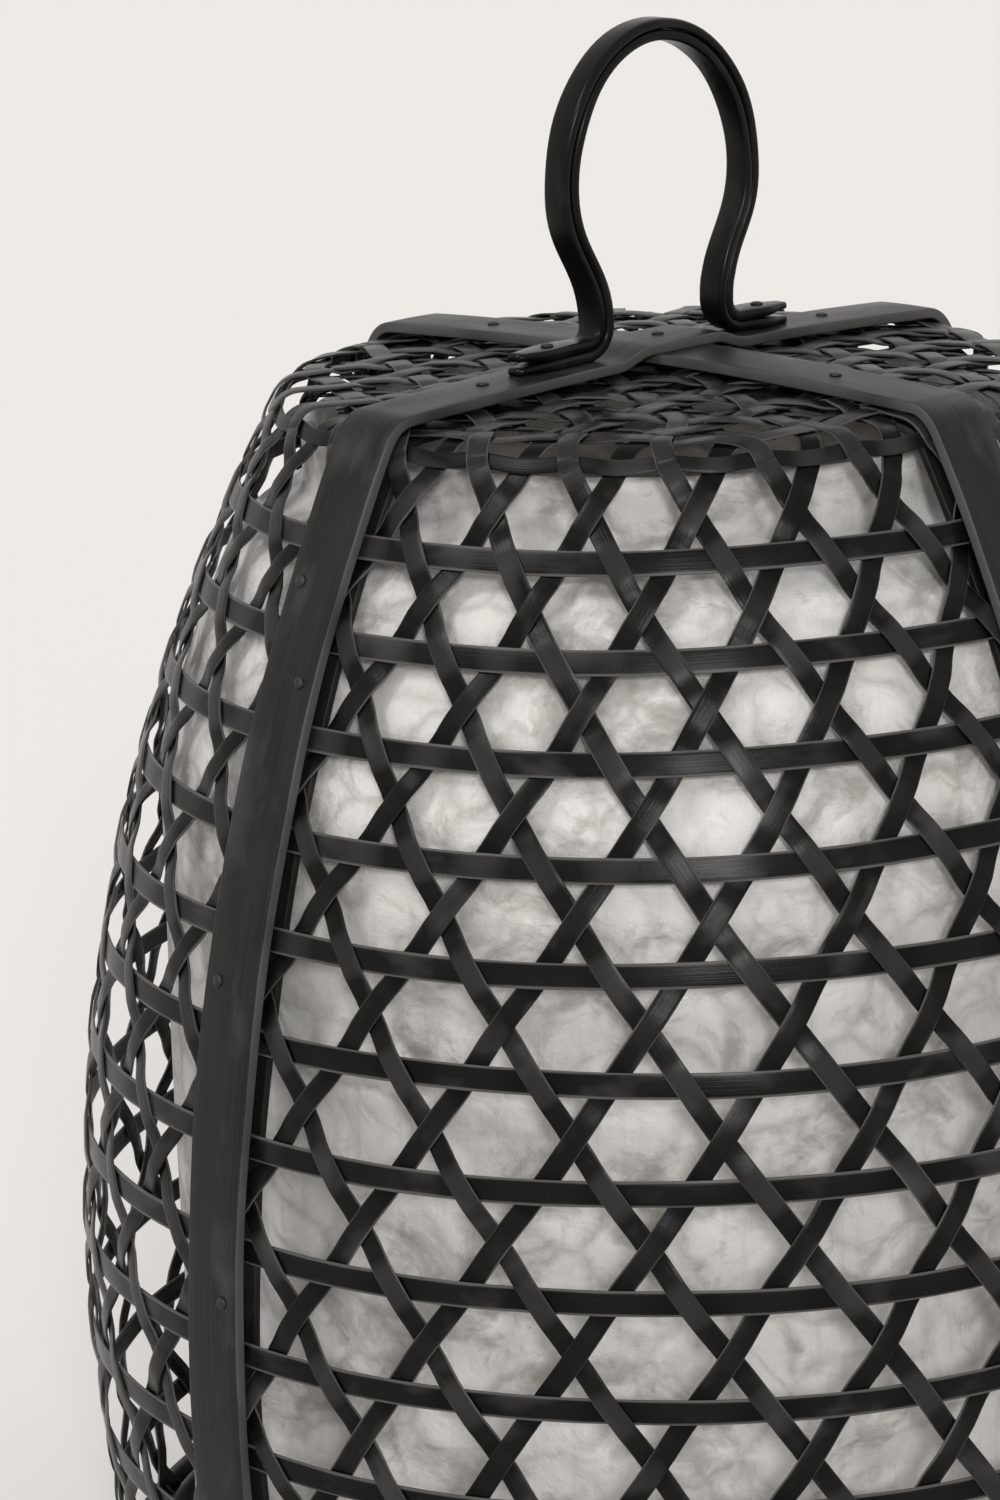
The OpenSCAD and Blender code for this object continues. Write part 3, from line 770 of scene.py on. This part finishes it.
def rib_line(lift, top_lift, rise, width):
    """The CAD's rib line in its own plane, sampled finely: (x, z) from the lower left end to the right."""
    low = -math.asin((BELLY_Z - RIM_H - GAP - 0.6) / BEND_R)
    side = []
    for i in range(91):
        a = low + (SHOULDER_A - low) * i / 90
        p = side_point(a, 0, lift)
        side.append((p.x, p.z))
    fx, fz = side[-1]
    level = rib_top(fx, top_lift, rise, width)
    cx, cz = fx - (level - fz) * math.tan(SHOULDER_A), level
    tx = cx - 5
    tz = rib_top(tx, top_lift, rise, width)
    top = []
    for i in range(1, 61):
        x = tx * (1 - i / 60)
        top.append((x, rib_top(x, top_lift, rise, width)))
    half = side + curve(((fx, fz), (cx, cz), (tx, tz)), 12) + top
    return half + [(-x, z) for x, z in half[-2::-1]]


CORNERS = ((-1, -1, 180), (1, -1, 270), (1, 1, 0), (-1, 1, 90))


def wide_section(width, thick, round_off, crown):
    """Section with rounded edges and a crown on its outer face."""
    w, t, r = width / 2, thick / 2, round_off
    steps = 4
    pts = []
    for qx, qy, a0 in CORNERS:
        for k in range(steps):
            a = math.radians(a0 + 90 * k / (steps - 1))
            pts.append((qx * (w - r) + r * math.cos(a), qy * (t - r) + r * math.sin(a)))
    top_face = [(w * f, t + crown * (1 - f * f)) for f in (0.6, 0.2, -0.2, -0.6)]
    return pts[:3 * steps] + top_face + pts[3 * steps:]


RIB_CROWN = 0.15


def rib(name, node, turn, lift, top_lift, rise, width, thick, round_off, knots, seed, reach_in=0.0):
    line = rib_line(lift, top_lift, rise, width)
    rot = Matrix.Rotation(math.radians(turn), 3, "Z")
    pts = [rot @ Vector((x, 0, z)) for x, z in line]
    n = len(pts)
    s = arc_lengths(pts)
    bm, uv = fresh()
    section = wide_section(width, thick, round_off, RIB_CROWN)
    side = rot @ Vector((0, 1, 0))
    r = random.Random(seed)
    ph = [r.uniform(0, 6.28) for _ in range(6)]
    rings = []
    for i in range(n):
        t = (pts[min(i + 1, n - 1)] - pts[max(i - 1, 0)]).normalized()
        out = side.cross(t).normalized()
        if out.dot(Vector((pts[i].x, pts[i].y, 60))) < 0:
            out = -out
        wl = 0.30 * math.sin(s[i] / 31 + ph[0]) + 0.18 * math.sin(s[i] / 11 + ph[1])
        wr = 0.30 * math.sin(s[i] / 27 + ph[2]) + 0.18 * math.sin(s[i] / 13 + ph[3])
        swell = sum(h * math.exp(-((s[i] - at) / wide) ** 2) for at, wide, h in knots)
        ring = []
        for a, o in section:
            edge = wr if a > 0 else wl
            oo = o - reach_in * 0.5 if o < 0 else o + swell * (1 - (a / (width / 2)) ** 2 * 0.5)
            aa = a + (edge - 0.35) * abs(a) / (width / 2)
            ring.append(bm.verts.new((pts[i] + side * aa + out * oo) * MM))
        rings.append(ring)
    join_rings(bm, uv, rings, s, [a for a, o in section], seed)
    finish_bm(bm)
    piece = new_object(name, bm, rib_bamboo)
    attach(piece, "basket")
    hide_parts(node)


OUT_LIFT, OUT_TOP = HOOP_HIGH + GAP + RIB_T / 2, TOP_HIGH + GAP + RIB_T / 2
IN_LIFT, IN_TOP = -(HOOP_HIGH + RIB_IN + IN_T / 2), -(TOP_HIGH + GAP + IN_T / 2)
rib("handle_rib_outer", "outer_rib_handle", 0, OUT_LIFT, OUT_TOP, RIB_T + RIB_GAP, RIB_W, RIB_T, 0.5,
    [(190, 1.6, 0.25), (650, 1.8, 0.25), (95, 1.4, 0.2)], 3, 0.4)
rib("cross_rib_outer", "outer_rib_cross", 90, OUT_LIFT, OUT_TOP, 0, RIB_W, RIB_T, 0.5,
    [(205, 1.6, 0.22), (700, 1.8, 0.25)], 5, 0.4)
rib("handle_rib_inner", "inner_rib_handle", 0, IN_LIFT, IN_TOP, 0, IN_W, IN_T, 0.4, [(240, 1.5, 0.1)], 7)
rib("cross_rib_inner", "inner_rib_cross", 90, IN_LIFT, IN_TOP, -(IN_T + RIB_GAP), IN_W, IN_T, 0.4,
    [(260, 1.5, 0.1)], 9)


# ------------------------------------------------------------------ rims
def rim(name, node, low, high, seed):
    bm, uv = fresh()
    count = 216
    r = random.Random(seed)
    ph = [r.uniform(0, 6.28) for _ in range(4)]
    edge = 0.6
    section = [(low, edge), (low + edge, 0.0), (high - edge, 0.0), (high, edge),
               (high + 0.08, RIM_H * 0.35), (high + 0.08, RIM_H * 0.7),
               (high, RIM_H - edge), (high - edge, RIM_H), (low + edge, RIM_H), (low, RIM_H - edge)]
    rings = []
    for i in range(count):
        a = 2 * math.pi * i / count
        ring = []
        for lift, z in section:
            dz = 0.25 * math.sin(3 * a + ph[0]) + 0.15 * math.sin(11 * a + ph[1])
            zz = z + (dz - 0.3 if z > RIM_H - 0.7 else 0)
            rr = side_r(z) + lift
            ring.append(bm.verts.new(Vector((rr * math.cos(a), rr * math.sin(a), zz)) * MM))
        rings.append(ring)
    k = len(section)
    around = 2 * math.pi * side_r(0)
    for i in range(count):
        j = (i + 1) % count
        for q in range(k):
            p = (q + 1) % k
            f = bm.faces.new((rings[i][q], rings[j][q], rings[j][p], rings[i][p]))
            la, lb = around * i / count * MM, around * (i + 1) / count * MM
            va, vb = section[q][1] * MM + section[q][0] * MM, section[p][1] * MM + section[p][0] * MM
            for loop, (lu, lv) in zip(f.loops, ((la, va), (lb, va), (lb, vb), (la, vb))):
                loop[uv].uv = (lu + seed, lv)
    finish_bm(bm)
    piece = new_object(name, bm, flat_bamboo)
    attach(piece, "basket")
    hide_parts(node)


RIM_LIFT, RIM_T = HOOP_HIGH + GAP + 0.1, 3.0
rim("rim_hoop_outer", "outer_rim", RIM_LIFT, RIM_LIFT + RIM_T, 11)
rim("rim_hoop_inner", "inner_rim", -RIM_LIFT - RIM_T, -RIM_LIFT, 13)


# ------------------------------------------------------------------ handle
LAYER_T, HANDLE_W = 2.7, 8.0
LOOP_HALF, WAIST_H, LOOP_H = 35.5, 40.0, 81.0
LEG_HALF, FOOT_BEND, LEFT_FOOT, RIGHT_FOOT = 22.0, 6.0, 51.0, 46.0
WAIST_PULL = 0.45


def foot_z(x):
    return rib_top(abs(x), OUT_TOP, RIB_T + RIB_GAP, RIB_W) + RIB_T / 2


SEAM_Z = foot_z(LEG_HALF + FOOT_BEND) + RIB_GAP + LAYER_T + RIB_GAP / 2
RIB_TOP_Z = foot_z(0)
SEAM_HALF = LOOP_HALF - LAYER_T - RIB_GAP / 2
WAIST_Z = RIB_TOP_Z + WAIST_H
APEX_Z = RIB_TOP_Z + LOOP_H - LAYER_T - RIB_GAP / 2


def half_loop(reach):
    pts = []
    for i in range(13):
        x = reach + (LEG_HALF + FOOT_BEND - reach) * i / 12
        pts.append((-x, foot_z(x) + RIB_GAP + LAYER_T + RIB_GAP / 2))
    for a in range(10, 91, 10):
        b = math.radians(a)
        pts.append((-LEG_HALF - FOOT_BEND + FOOT_BEND * math.sin(b), SEAM_Z + FOOT_BEND * (1 - math.cos(b))))
    low = SEAM_Z + FOOT_BEND
    pull = (WAIST_Z - low) * WAIST_PULL
    pts += curve(((-LEG_HALF, low), (-LEG_HALF, low + pull),
                  (-SEAM_HALF, WAIST_Z - pull), (-SEAM_HALF, WAIST_Z)), 16)
    for a in range(4, 89, 4):
        b = math.radians(a)
        pts.append((-SEAM_HALF * math.cos(b), WAIST_Z + (APEX_Z - WAIST_Z) * math.sin(b)))
    return pts


LOOP = half_loop(LEFT_FOOT) + [(0.0, APEX_Z)] + [(-x, z) for x, z in half_loop(RIGHT_FOOT)[::-1]]


def handle_layer(name, node, low, high, seed):
    r = random.Random(seed)
    ph = [r.uniform(0, 6.28) for _ in range(8)]
    n = len(LOOP)
    s = [0.0]
    for i in range(1, n):
        s.append(s[-1] + math.dist(LOOP[i], LOOP[i - 1]))
    total = s[-1]
    outer = high > 0
    bm, uv = fresh()
    rings = []
    steps = 5
    base = []
    w0, t0 = HANDLE_W / 2, (high - low) / 2
    for qx, qy, a0 in CORNERS:
        for k in range(steps):
            a = math.radians(a0 + 90 * k / (steps - 1))
            base.append((qx, qy, math.cos(a), math.sin(a)))
    for i in range(n):
        x0, z0 = LOOP[max(i - 1, 0)]
        x1, z1 = LOOP[min(i + 1, n - 1)]
        d = Vector((x1 - x0, 0, z1 - z0)).normalized()
        nrm = Vector((-d.z, 0, d.x))
        p = Vector((LOOP[i][0], 0, LOOP[i][1]))
        end = min(s[i], total - s[i])
        # the feet taper to a whittled tip and spread into a lobe round the nail
        tip = smooth_step(end / 9.0)
        lobe = math.exp(-((end - 11) / 6.5) ** 2)
        w = (w0 * (0.62 + 0.38 * tip) + 0.75 * lobe
             + 0.15 * math.sin(s[i] / 9 + ph[0]) + 0.1 * math.sin(s[i] / 4 + ph[1]))
        t = t0 * (0.70 + 0.30 * tip)
        mid = (low + high) / 2 + (t - t0) * (-1 if outer else 1)
        wave = (0.10 * math.sin(s[i] / 5 + ph[2]) + 0.08 * math.sin(s[i] / 2.7 + ph[3]) if end < 34
                else 0.05 * math.sin(s[i] / 8 + ph[2]))
        rnd = min(1.05, t * 0.85)
        shift = 0.18 * math.sin(s[i] / 23 + ph[4])
        ring = []
        for qx, qy, c, sn in base:
            across = qx * (w - rnd) + rnd * c + shift
            off = mid + qy * (t - rnd) + rnd * sn
            if (qy > 0) == outer:
                off += wave * (1 if outer else -1) * 0.8 + (0.12 if outer else -0.12) * (1 - (across / w) ** 2)
            ring.append(bm.verts.new((p + nrm * off + Vector((0, across, 0))) * MM))
        rings.append(ring)
    join_rings(bm, uv, rings, s, [qx * w0 + c for qx, qy, c, sn in base], seed)
    finish_bm(bm)
    piece = new_object(name, bm, bent_bamboo)
    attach(piece, "basket")
    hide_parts(node)


handle_layer("bent_handle_outer", "handle_outer_layer", RIB_GAP / 2, RIB_GAP / 2 + LAYER_T, 17)
handle_layer("bent_handle_inner", "handle_inner_layer", -RIB_GAP / 2 - LAYER_T, -RIB_GAP / 2, 19)


# ------------------------------------------------------------------ nails
HEAD_R, HEAD_H, SHANK_R = 1.7, 0.8, 0.7


def domed_nail(bm, frame_matrix, length, seed):
    """Hand-made nail: shank, and a slightly uneven domed head. Local +Z is outward, z 0 the face it holds."""
    r = random.Random(seed)
    prof = [(0, -length), (SHANK_R * 0.6, -length), (SHANK_R, -length + 0.6), (SHANK_R, 0.1),
            (HEAD_R * 0.9, 0.1), (HEAD_R, 0.25), (HEAD_R * 0.96, 0.5), (HEAD_R * 0.75, 0.78),
            (HEAD_R * 0.4, HEAD_H + 0.09), (0, HEAD_H + 0.1)]
    count = 16
    ph, squash = r.uniform(0, 6.28), r.uniform(0.0, 0.07)
    rows = []
    for rad, z in prof:
        if rad == 0:
            rows.append([bm.verts.new(frame_matrix @ (Vector((0, 0, z)) * MM))])
            continue
        row = []
        for i in range(count):
            a = 2 * math.pi * i / count
            rr = rad * (1 - squash * (0.5 + 0.5 * math.cos(2 * a + ph)) if rad > SHANK_R else 1)
            row.append(bm.verts.new(frame_matrix @ (Vector((rr * math.cos(a), rr * math.sin(a), z)) * MM)))
        rows.append(row)
    join_rows(bm, rows, count)


NAIL_ROWS = [1.5, 2.5, 5.5, 8.5, 11.5]
OUT_FACE = HOOP_HIGH + GAP + RIB_T
RIB_NAIL_L = OUT_FACE + HOOP_HIGH + RIB_IN + IN_T


def hexagon_shift(azimuth, u):
    k = math.floor(u)
    d = TURN + (k % 2 + 1) * STEP - azimuth
    turns = d / (2 * STEP)
    near = d - 2 * STEP * math.copysign(math.floor(abs(turns) + 0.5), turns)
    return max(-4.5, min(4.5, side_r(side_point(row_angle(u), 0, 0).z) * math.sin(math.radians(near))))


def nail_group(name, node, places):
    bm = bmesh.new()
    for i, (matrix, length) in enumerate(places):
        domed_nail(bm, matrix, length, i * 7 + len(name))
    finish_bm(bm)
    piece = new_object(name, bm, nail_metal)
    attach(piece, "basket")
    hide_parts(node)


def place(turn, x, y, z, tilt):
    return (Matrix.Rotation(math.radians(turn), 4, "Z") @ Matrix.Translation(Vector((x, y, z)) * MM)
            @ Matrix.Rotation(math.radians(tilt), 4, "Y"))


rib_places = []
for turn in (0, 90, 180, 270):
    for u in NAIL_ROWS:
        p = side_point(row_angle(u), 0, OUT_FACE)
        tilt = 90 - math.degrees(row_angle(u))
        rib_places.append((place(turn, p.x, hexagon_shift(turn, u), p.z, tilt), RIB_NAIL_L))
nail_group("rib_nail_set", "rib_nails", rib_places)
tacks = [(place(turn, 62, 0, top_z(62) + OUT_TOP + RIB_T / 2, 0), RIB_T) for turn in (0, 90, 180, 270)]
tacks.append((place(0, 0, 0, RIB_TOP_Z, 0), 2 * RIB_T + RIB_GAP))
nail_group("rib_tack_set", "rib_tacks", tacks)
RIM_NAIL_Z, RIM_NAILS = RIM_H - 1.6, 9
first_hexagon = TURN + ((ROWS - 1) % 2 + 1) * STEP
nail_group("rim_nail_set", "rim_nails", [
    (place(first_hexagon + 2 * STEP * math.floor(j * STRIPS / RIM_NAILS + 0.5),
           side_r(RIM_NAIL_Z) + RIM_LIFT + RIM_T + 0.6, 0, RIM_NAIL_Z, 90), 2 * (RIM_T + RIM_LIFT))
    for j in range(RIM_NAILS)])
nail_group("handle_nail_set", "handle_nails", [
    (place(0, x, 0, foot_z(x) + 2 * LAYER_T + 2 * RIB_GAP, 0), 2 * LAYER_T + 2 * RIB_GAP + RIB_T)
    for x in (-(LEFT_FOOT + LEG_HALF + FOOT_BEND) / 2, (RIGHT_FOOT + LEG_HALF + FOOT_BEND) / 2)])


# ------------------------------------------------------------------ jar, candle, wick
JAR_R, JAR_WALL, JAR_FLOOR, HEEL = BELLY_R - 25, 4.0, 7.0, 6
NECK_R, NECK_Z, MOUTH_Z = SHOULDER_R - 7, SHOULDER_Z - 17, SHOULDER_Z - 4
INNER_FACE = HOOP_HIGH + RIB_IN + IN_T
SEAT_R = BEND_R - INNER_FACE - 0.3
SEAT_LOW = math.acos((NECK_R + 0.9 * (JAR_R - NECK_R) - ARC_X) / SEAT_R)
SEAT_HIGH = math.acos((NECK_R + 0.48 * (JAR_R - NECK_R) - ARC_X) / SEAT_R)


def jar_lines():
    def seat(a):
        return (ARC_X + SEAT_R * math.cos(a), BELLY_Z + SEAT_R * math.sin(a))
    low, high = seat(SEAT_LOW), seat(SEAT_HIGH)
    corner = (JAR_R, low[1] - (JAR_R - low[0]) / math.tan(SEAT_LOW))
    wall_top = (JAR_R, 2 * corner[1] - low[1])
    heel = [(0.0, 0.6), (JAR_R * 0.55, 0.6), (JAR_R * 0.82, 0.3), (JAR_R - 16, 0.0)]
    for a in range(0, 91, 9):
        b = math.radians(a)
        heel.append((JAR_R - HEEL + HEEL * math.sin(b), HEEL * (1 - math.cos(b))))
    wall = [(JAR_R, HEEL + (wall_top[1] - HEEL) * i / 30) for i in range(1, 31)]
    turn = curve((wall_top, corner, low), 12)
    seat_line = [seat(SEAT_LOW + (SEAT_HIGH - SEAT_LOW) * i / 8) for i in range(1, 9)]
    bend = (NECK_Z - high[1]) * 0.75
    neck = curve((high, (high[0] - bend * math.sin(SEAT_HIGH), high[1] + bend * math.cos(SEAT_HIGH)),
                  (NECK_R, NECK_Z - bend / 2), (NECK_R, NECK_Z)), 14)
    return heel, wall + turn + seat_line + neck


def glass_jar():
    heel, upper = jar_lines()
    outer = heel + upper + [(NECK_R, MOUTH_Z - 4)]
    normals = []
    for i in range(len(outer)):
        a, b = outer[max(i - 1, 0)], outer[min(i + 1, len(outer) - 1)]
        d = Vector((b[0] - a[0], b[1] - a[1])).normalized()
        normals.append((d.y, -d.x))
    lip = [(NECK_R - 0.4, MOUTH_Z - 1.4), (NECK_R - 1.2, MOUTH_Z - 0.3), (NECK_R - 2, MOUTH_Z),
           (NECK_R - 3, MOUTH_Z - 0.4), (NECK_R - 3.7, MOUTH_Z - 1.6)]
    inner = []
    for i in range(len(outer) - 1, len(heel) - 1, -1):
        inner.append((outer[i][0] - normals[i][0] * JAR_WALL, outer[i][1] - normals[i][1] * JAR_WALL))
    bottom = []
    for a in range(90, -1, -15):
        b = math.radians(a)
        bottom.append((JAR_R - JAR_WALL - HEEL + HEEL * math.sin(b), JAR_FLOOR + HEEL * (1 - math.cos(b))))
    inner = [q for q in inner if q[1] > JAR_FLOOR + HEEL + 0.5]
    line = outer + lip + inner + bottom + [(JAR_R * 0.5, JAR_FLOOR), (0.0, JAR_FLOOR)]
    count = 192
    bm = bmesh.new()
    rows = []
    for r, z in line:
        if r == 0:
            rows.append([bm.verts.new(Vector((0, 0, z)) * MM)])
            continue
        row = []
        for i in range(count):
            a = 2 * math.pi * i / count
            # the wall waves; the heel and the seat under the ribs stay round
            body = smooth_step((z - 8) / 20) * smooth_step((244 - z) / 18)
            wave = (0.45 * math.sin(3 * a + z / 60) + 0.3 * math.sin(7 * a - z / 35 + 1.3)
                    + 0.18 * math.sin(13 * a + z / 22))
            rr = r + body * (wave - 0.5)
            row.append(bm.verts.new(Vector((rr * math.cos(a), rr * math.sin(a), z)) * MM))
        rows.append(row)
    join_rows(bm, rows, count)
    finish_bm(bm)
    piece = new_object("blown_glass_jar", bm, glass)
    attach(piece, "jar")
    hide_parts("glass_jar")


glass_jar()


def lathe(name, node, body, material, line, wobble, count=96):
    bm = bmesh.new()
    phase = random.Random(1).uniform(0, 6.28)
    rows = []
    for r, z in line:
        if r == 0:
            rows.append([bm.verts.new(Vector((0, 0, z)) * MM)])
            continue
        row = []
        for i in range(count):
            a = 2 * math.pi * i / count
            rr = r + wobble * math.sin(3 * a + z / 20 + phase)
            row.append(bm.verts.new(Vector((rr * math.cos(a), rr * math.sin(a), z)) * MM))
        rows.append(row)
    join_rows(bm, rows, count)
    finish_bm(bm)
    piece = new_object(name, bm, material)
    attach(piece, body)
    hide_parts(node)


BASE = JAR_FLOOR + 0.2
lathe("pillar_candle", "candle", "candle", wax_mat,
      [(1.3, BASE), (36, BASE), (37.4, BASE + 0.6), (38, BASE + 2)]
      + [(38, BASE + 2 + 100 * i / 12) for i in range(1, 13)]
      + [(37.6, BASE + 103.6), (36.6, BASE + 104.7), (35, BASE + 105), (33, BASE + 104.6), (30, BASE + 103.7),
         (18, BASE + 103.0), (6, BASE + 102.4), (1.3, BASE + 102.0), (1.3, BASE)],
      -0.12)
lathe("cotton_wick_cord", "candle_wick", "candle", cotton_mat,
      [(0, BASE)] + [(1.1, BASE + 0.1 + 113 * i / 30) for i in range(31)]
      + [(0.7, BASE + 113.7), (0, BASE + 114)],
      0.05, count=16)


# ------------------------------------------------------------------ stage: floor, light, camera
FLOOR_HALF = 14.0


def stage_floor():
    me = bpy.data.meshes.new("paper_floor")
    h = FLOOR_HALF
    me.from_pydata([(-h, -h, 0), (h, -h, 0), (h, h, 0), (-h, h, 0)], [], [(0, 1, 2, 3)])
    obj = bpy.data.objects.new("paper_floor", me)
    bpy.context.scene.collection.objects.link(obj)
    mat, _, bsdf = nodes_of("paper_floor")
    bsdf.inputs["Base Color"].default_value = (0.815, 0.795, 0.775, 1)
    bsdf.inputs["Roughness"].default_value = 0.9
    bsdf.inputs["Specular IOR Level"].default_value = 0.1
    obj.data.materials.append(mat)


stage_floor()

world = bpy.context.scene.world or bpy.data.worlds.new("studio")
bpy.context.scene.world = world
world.use_nodes = True


ROOM, BACKDROP = (0.60, 0.59, 0.58), (0.85, 0.83, 0.803)


def studio():
    """Pale backdrop round the horizon and a dimmer room above it. The camera, mirror-like reflections and what
    is seen through glass meet the backdrop everywhere."""
    nt = world.node_tree
    nt.nodes.clear()
    out = nt.nodes.new("ShaderNodeOutputWorld")
    bg = nt.nodes.new("ShaderNodeBackground")
    nt.links.new(bg.outputs[0], out.inputs[0])
    tc = nt.nodes.new("ShaderNodeTexCoord")
    sep = nt.nodes.new("ShaderNodeSeparateXYZ")
    nt.links.new(tc.outputs["Generated"], sep.inputs[0])
    height = map_range(nt, sep.outputs[2], 1.0, 0.0, 0.10, 0.45)
    path = nt.nodes.new("ShaderNodeLightPath")
    pale = height
    for ray in ("Is Camera Ray", "Is Transmission Ray", "Is Glossy Ray"):
        pale = math_node(nt, "MAXIMUM", pale, path.outputs[ray])
    nt.links.new(mix_rgb(nt, "MIX", pale, ROOM, BACKDROP), bg.inputs[0])


studio()


CAM_AT = Vector((-0.8101, -0.8101, 0.550))
HALF_ROOT = math.sqrt(0.5)


def to_part(v):
    """From axes along the camera's line of sight to the part's axes, 45 degrees about Z."""
    return Vector((HALF_ROOT * (v.x + v.y), HALF_ROOT * (-v.x + v.y), v.z))


YAW, PITCH_A, ROLL = -0.0386, math.radians(15.20), math.radians(-1.93)
fw = Vector((math.sin(YAW) * math.cos(PITCH_A), math.cos(YAW) * math.cos(PITCH_A), -math.sin(PITCH_A)))
right = Vector((math.cos(YAW), -math.sin(YAW), 0))
up = right.cross(fw)
rolled_right = right * math.cos(ROLL) + up * math.sin(ROLL)
rolled_up = -right * math.sin(ROLL) + up * math.cos(ROLL)
cam_data = bpy.data.cameras.new("camera")
cam_data.lens = 107.8
cam_data.sensor_fit = "VERTICAL"
cam_data.sensor_height = 36
cam_data.clip_end = 60
cam = bpy.data.objects.new("camera", cam_data)
bpy.context.scene.collection.objects.link(cam)
cam_right, cam_up, cam_front = to_part(rolled_right), to_part(rolled_up), to_part(fw)
turned = Matrix((cam_right, cam_up, -cam_front)).transposed()
cam.matrix_world = Matrix.Translation(CAM_AT) @ turned.to_4x4()
bpy.context.scene.camera = cam
bpy.context.scene.view_settings.view_transform = "Standard"

# from the lantern towards the camera, level
front = Vector((-cam_front.x, -cam_front.y, 0)).normalized()


def sun(name, towards, power, angle):
    """Soft lamp far away: towards is the direction it stands in, angle its width in degrees."""
    data = bpy.data.lights.new(name, "SUN")
    data.energy = power
    data.angle = math.radians(angle)
    obj = bpy.data.objects.new(name, data)
    obj.rotation_euler = towards.to_track_quat("Z", "Y").to_euler()
    bpy.context.scene.collection.objects.link(obj)


sun("key", front * 0.55 - cam_right * 0.75 + Vector((0, 0, 0.95)), 0.95, 15)
sun("front", front * 1.0 + cam_right * 0.10 + Vector((0, 0, 0.42)), 1.25, 10)
sun("back", -front * 0.8 + cam_right * 0.55 + Vector((0, 0, 0.8)), 0.25, 30)
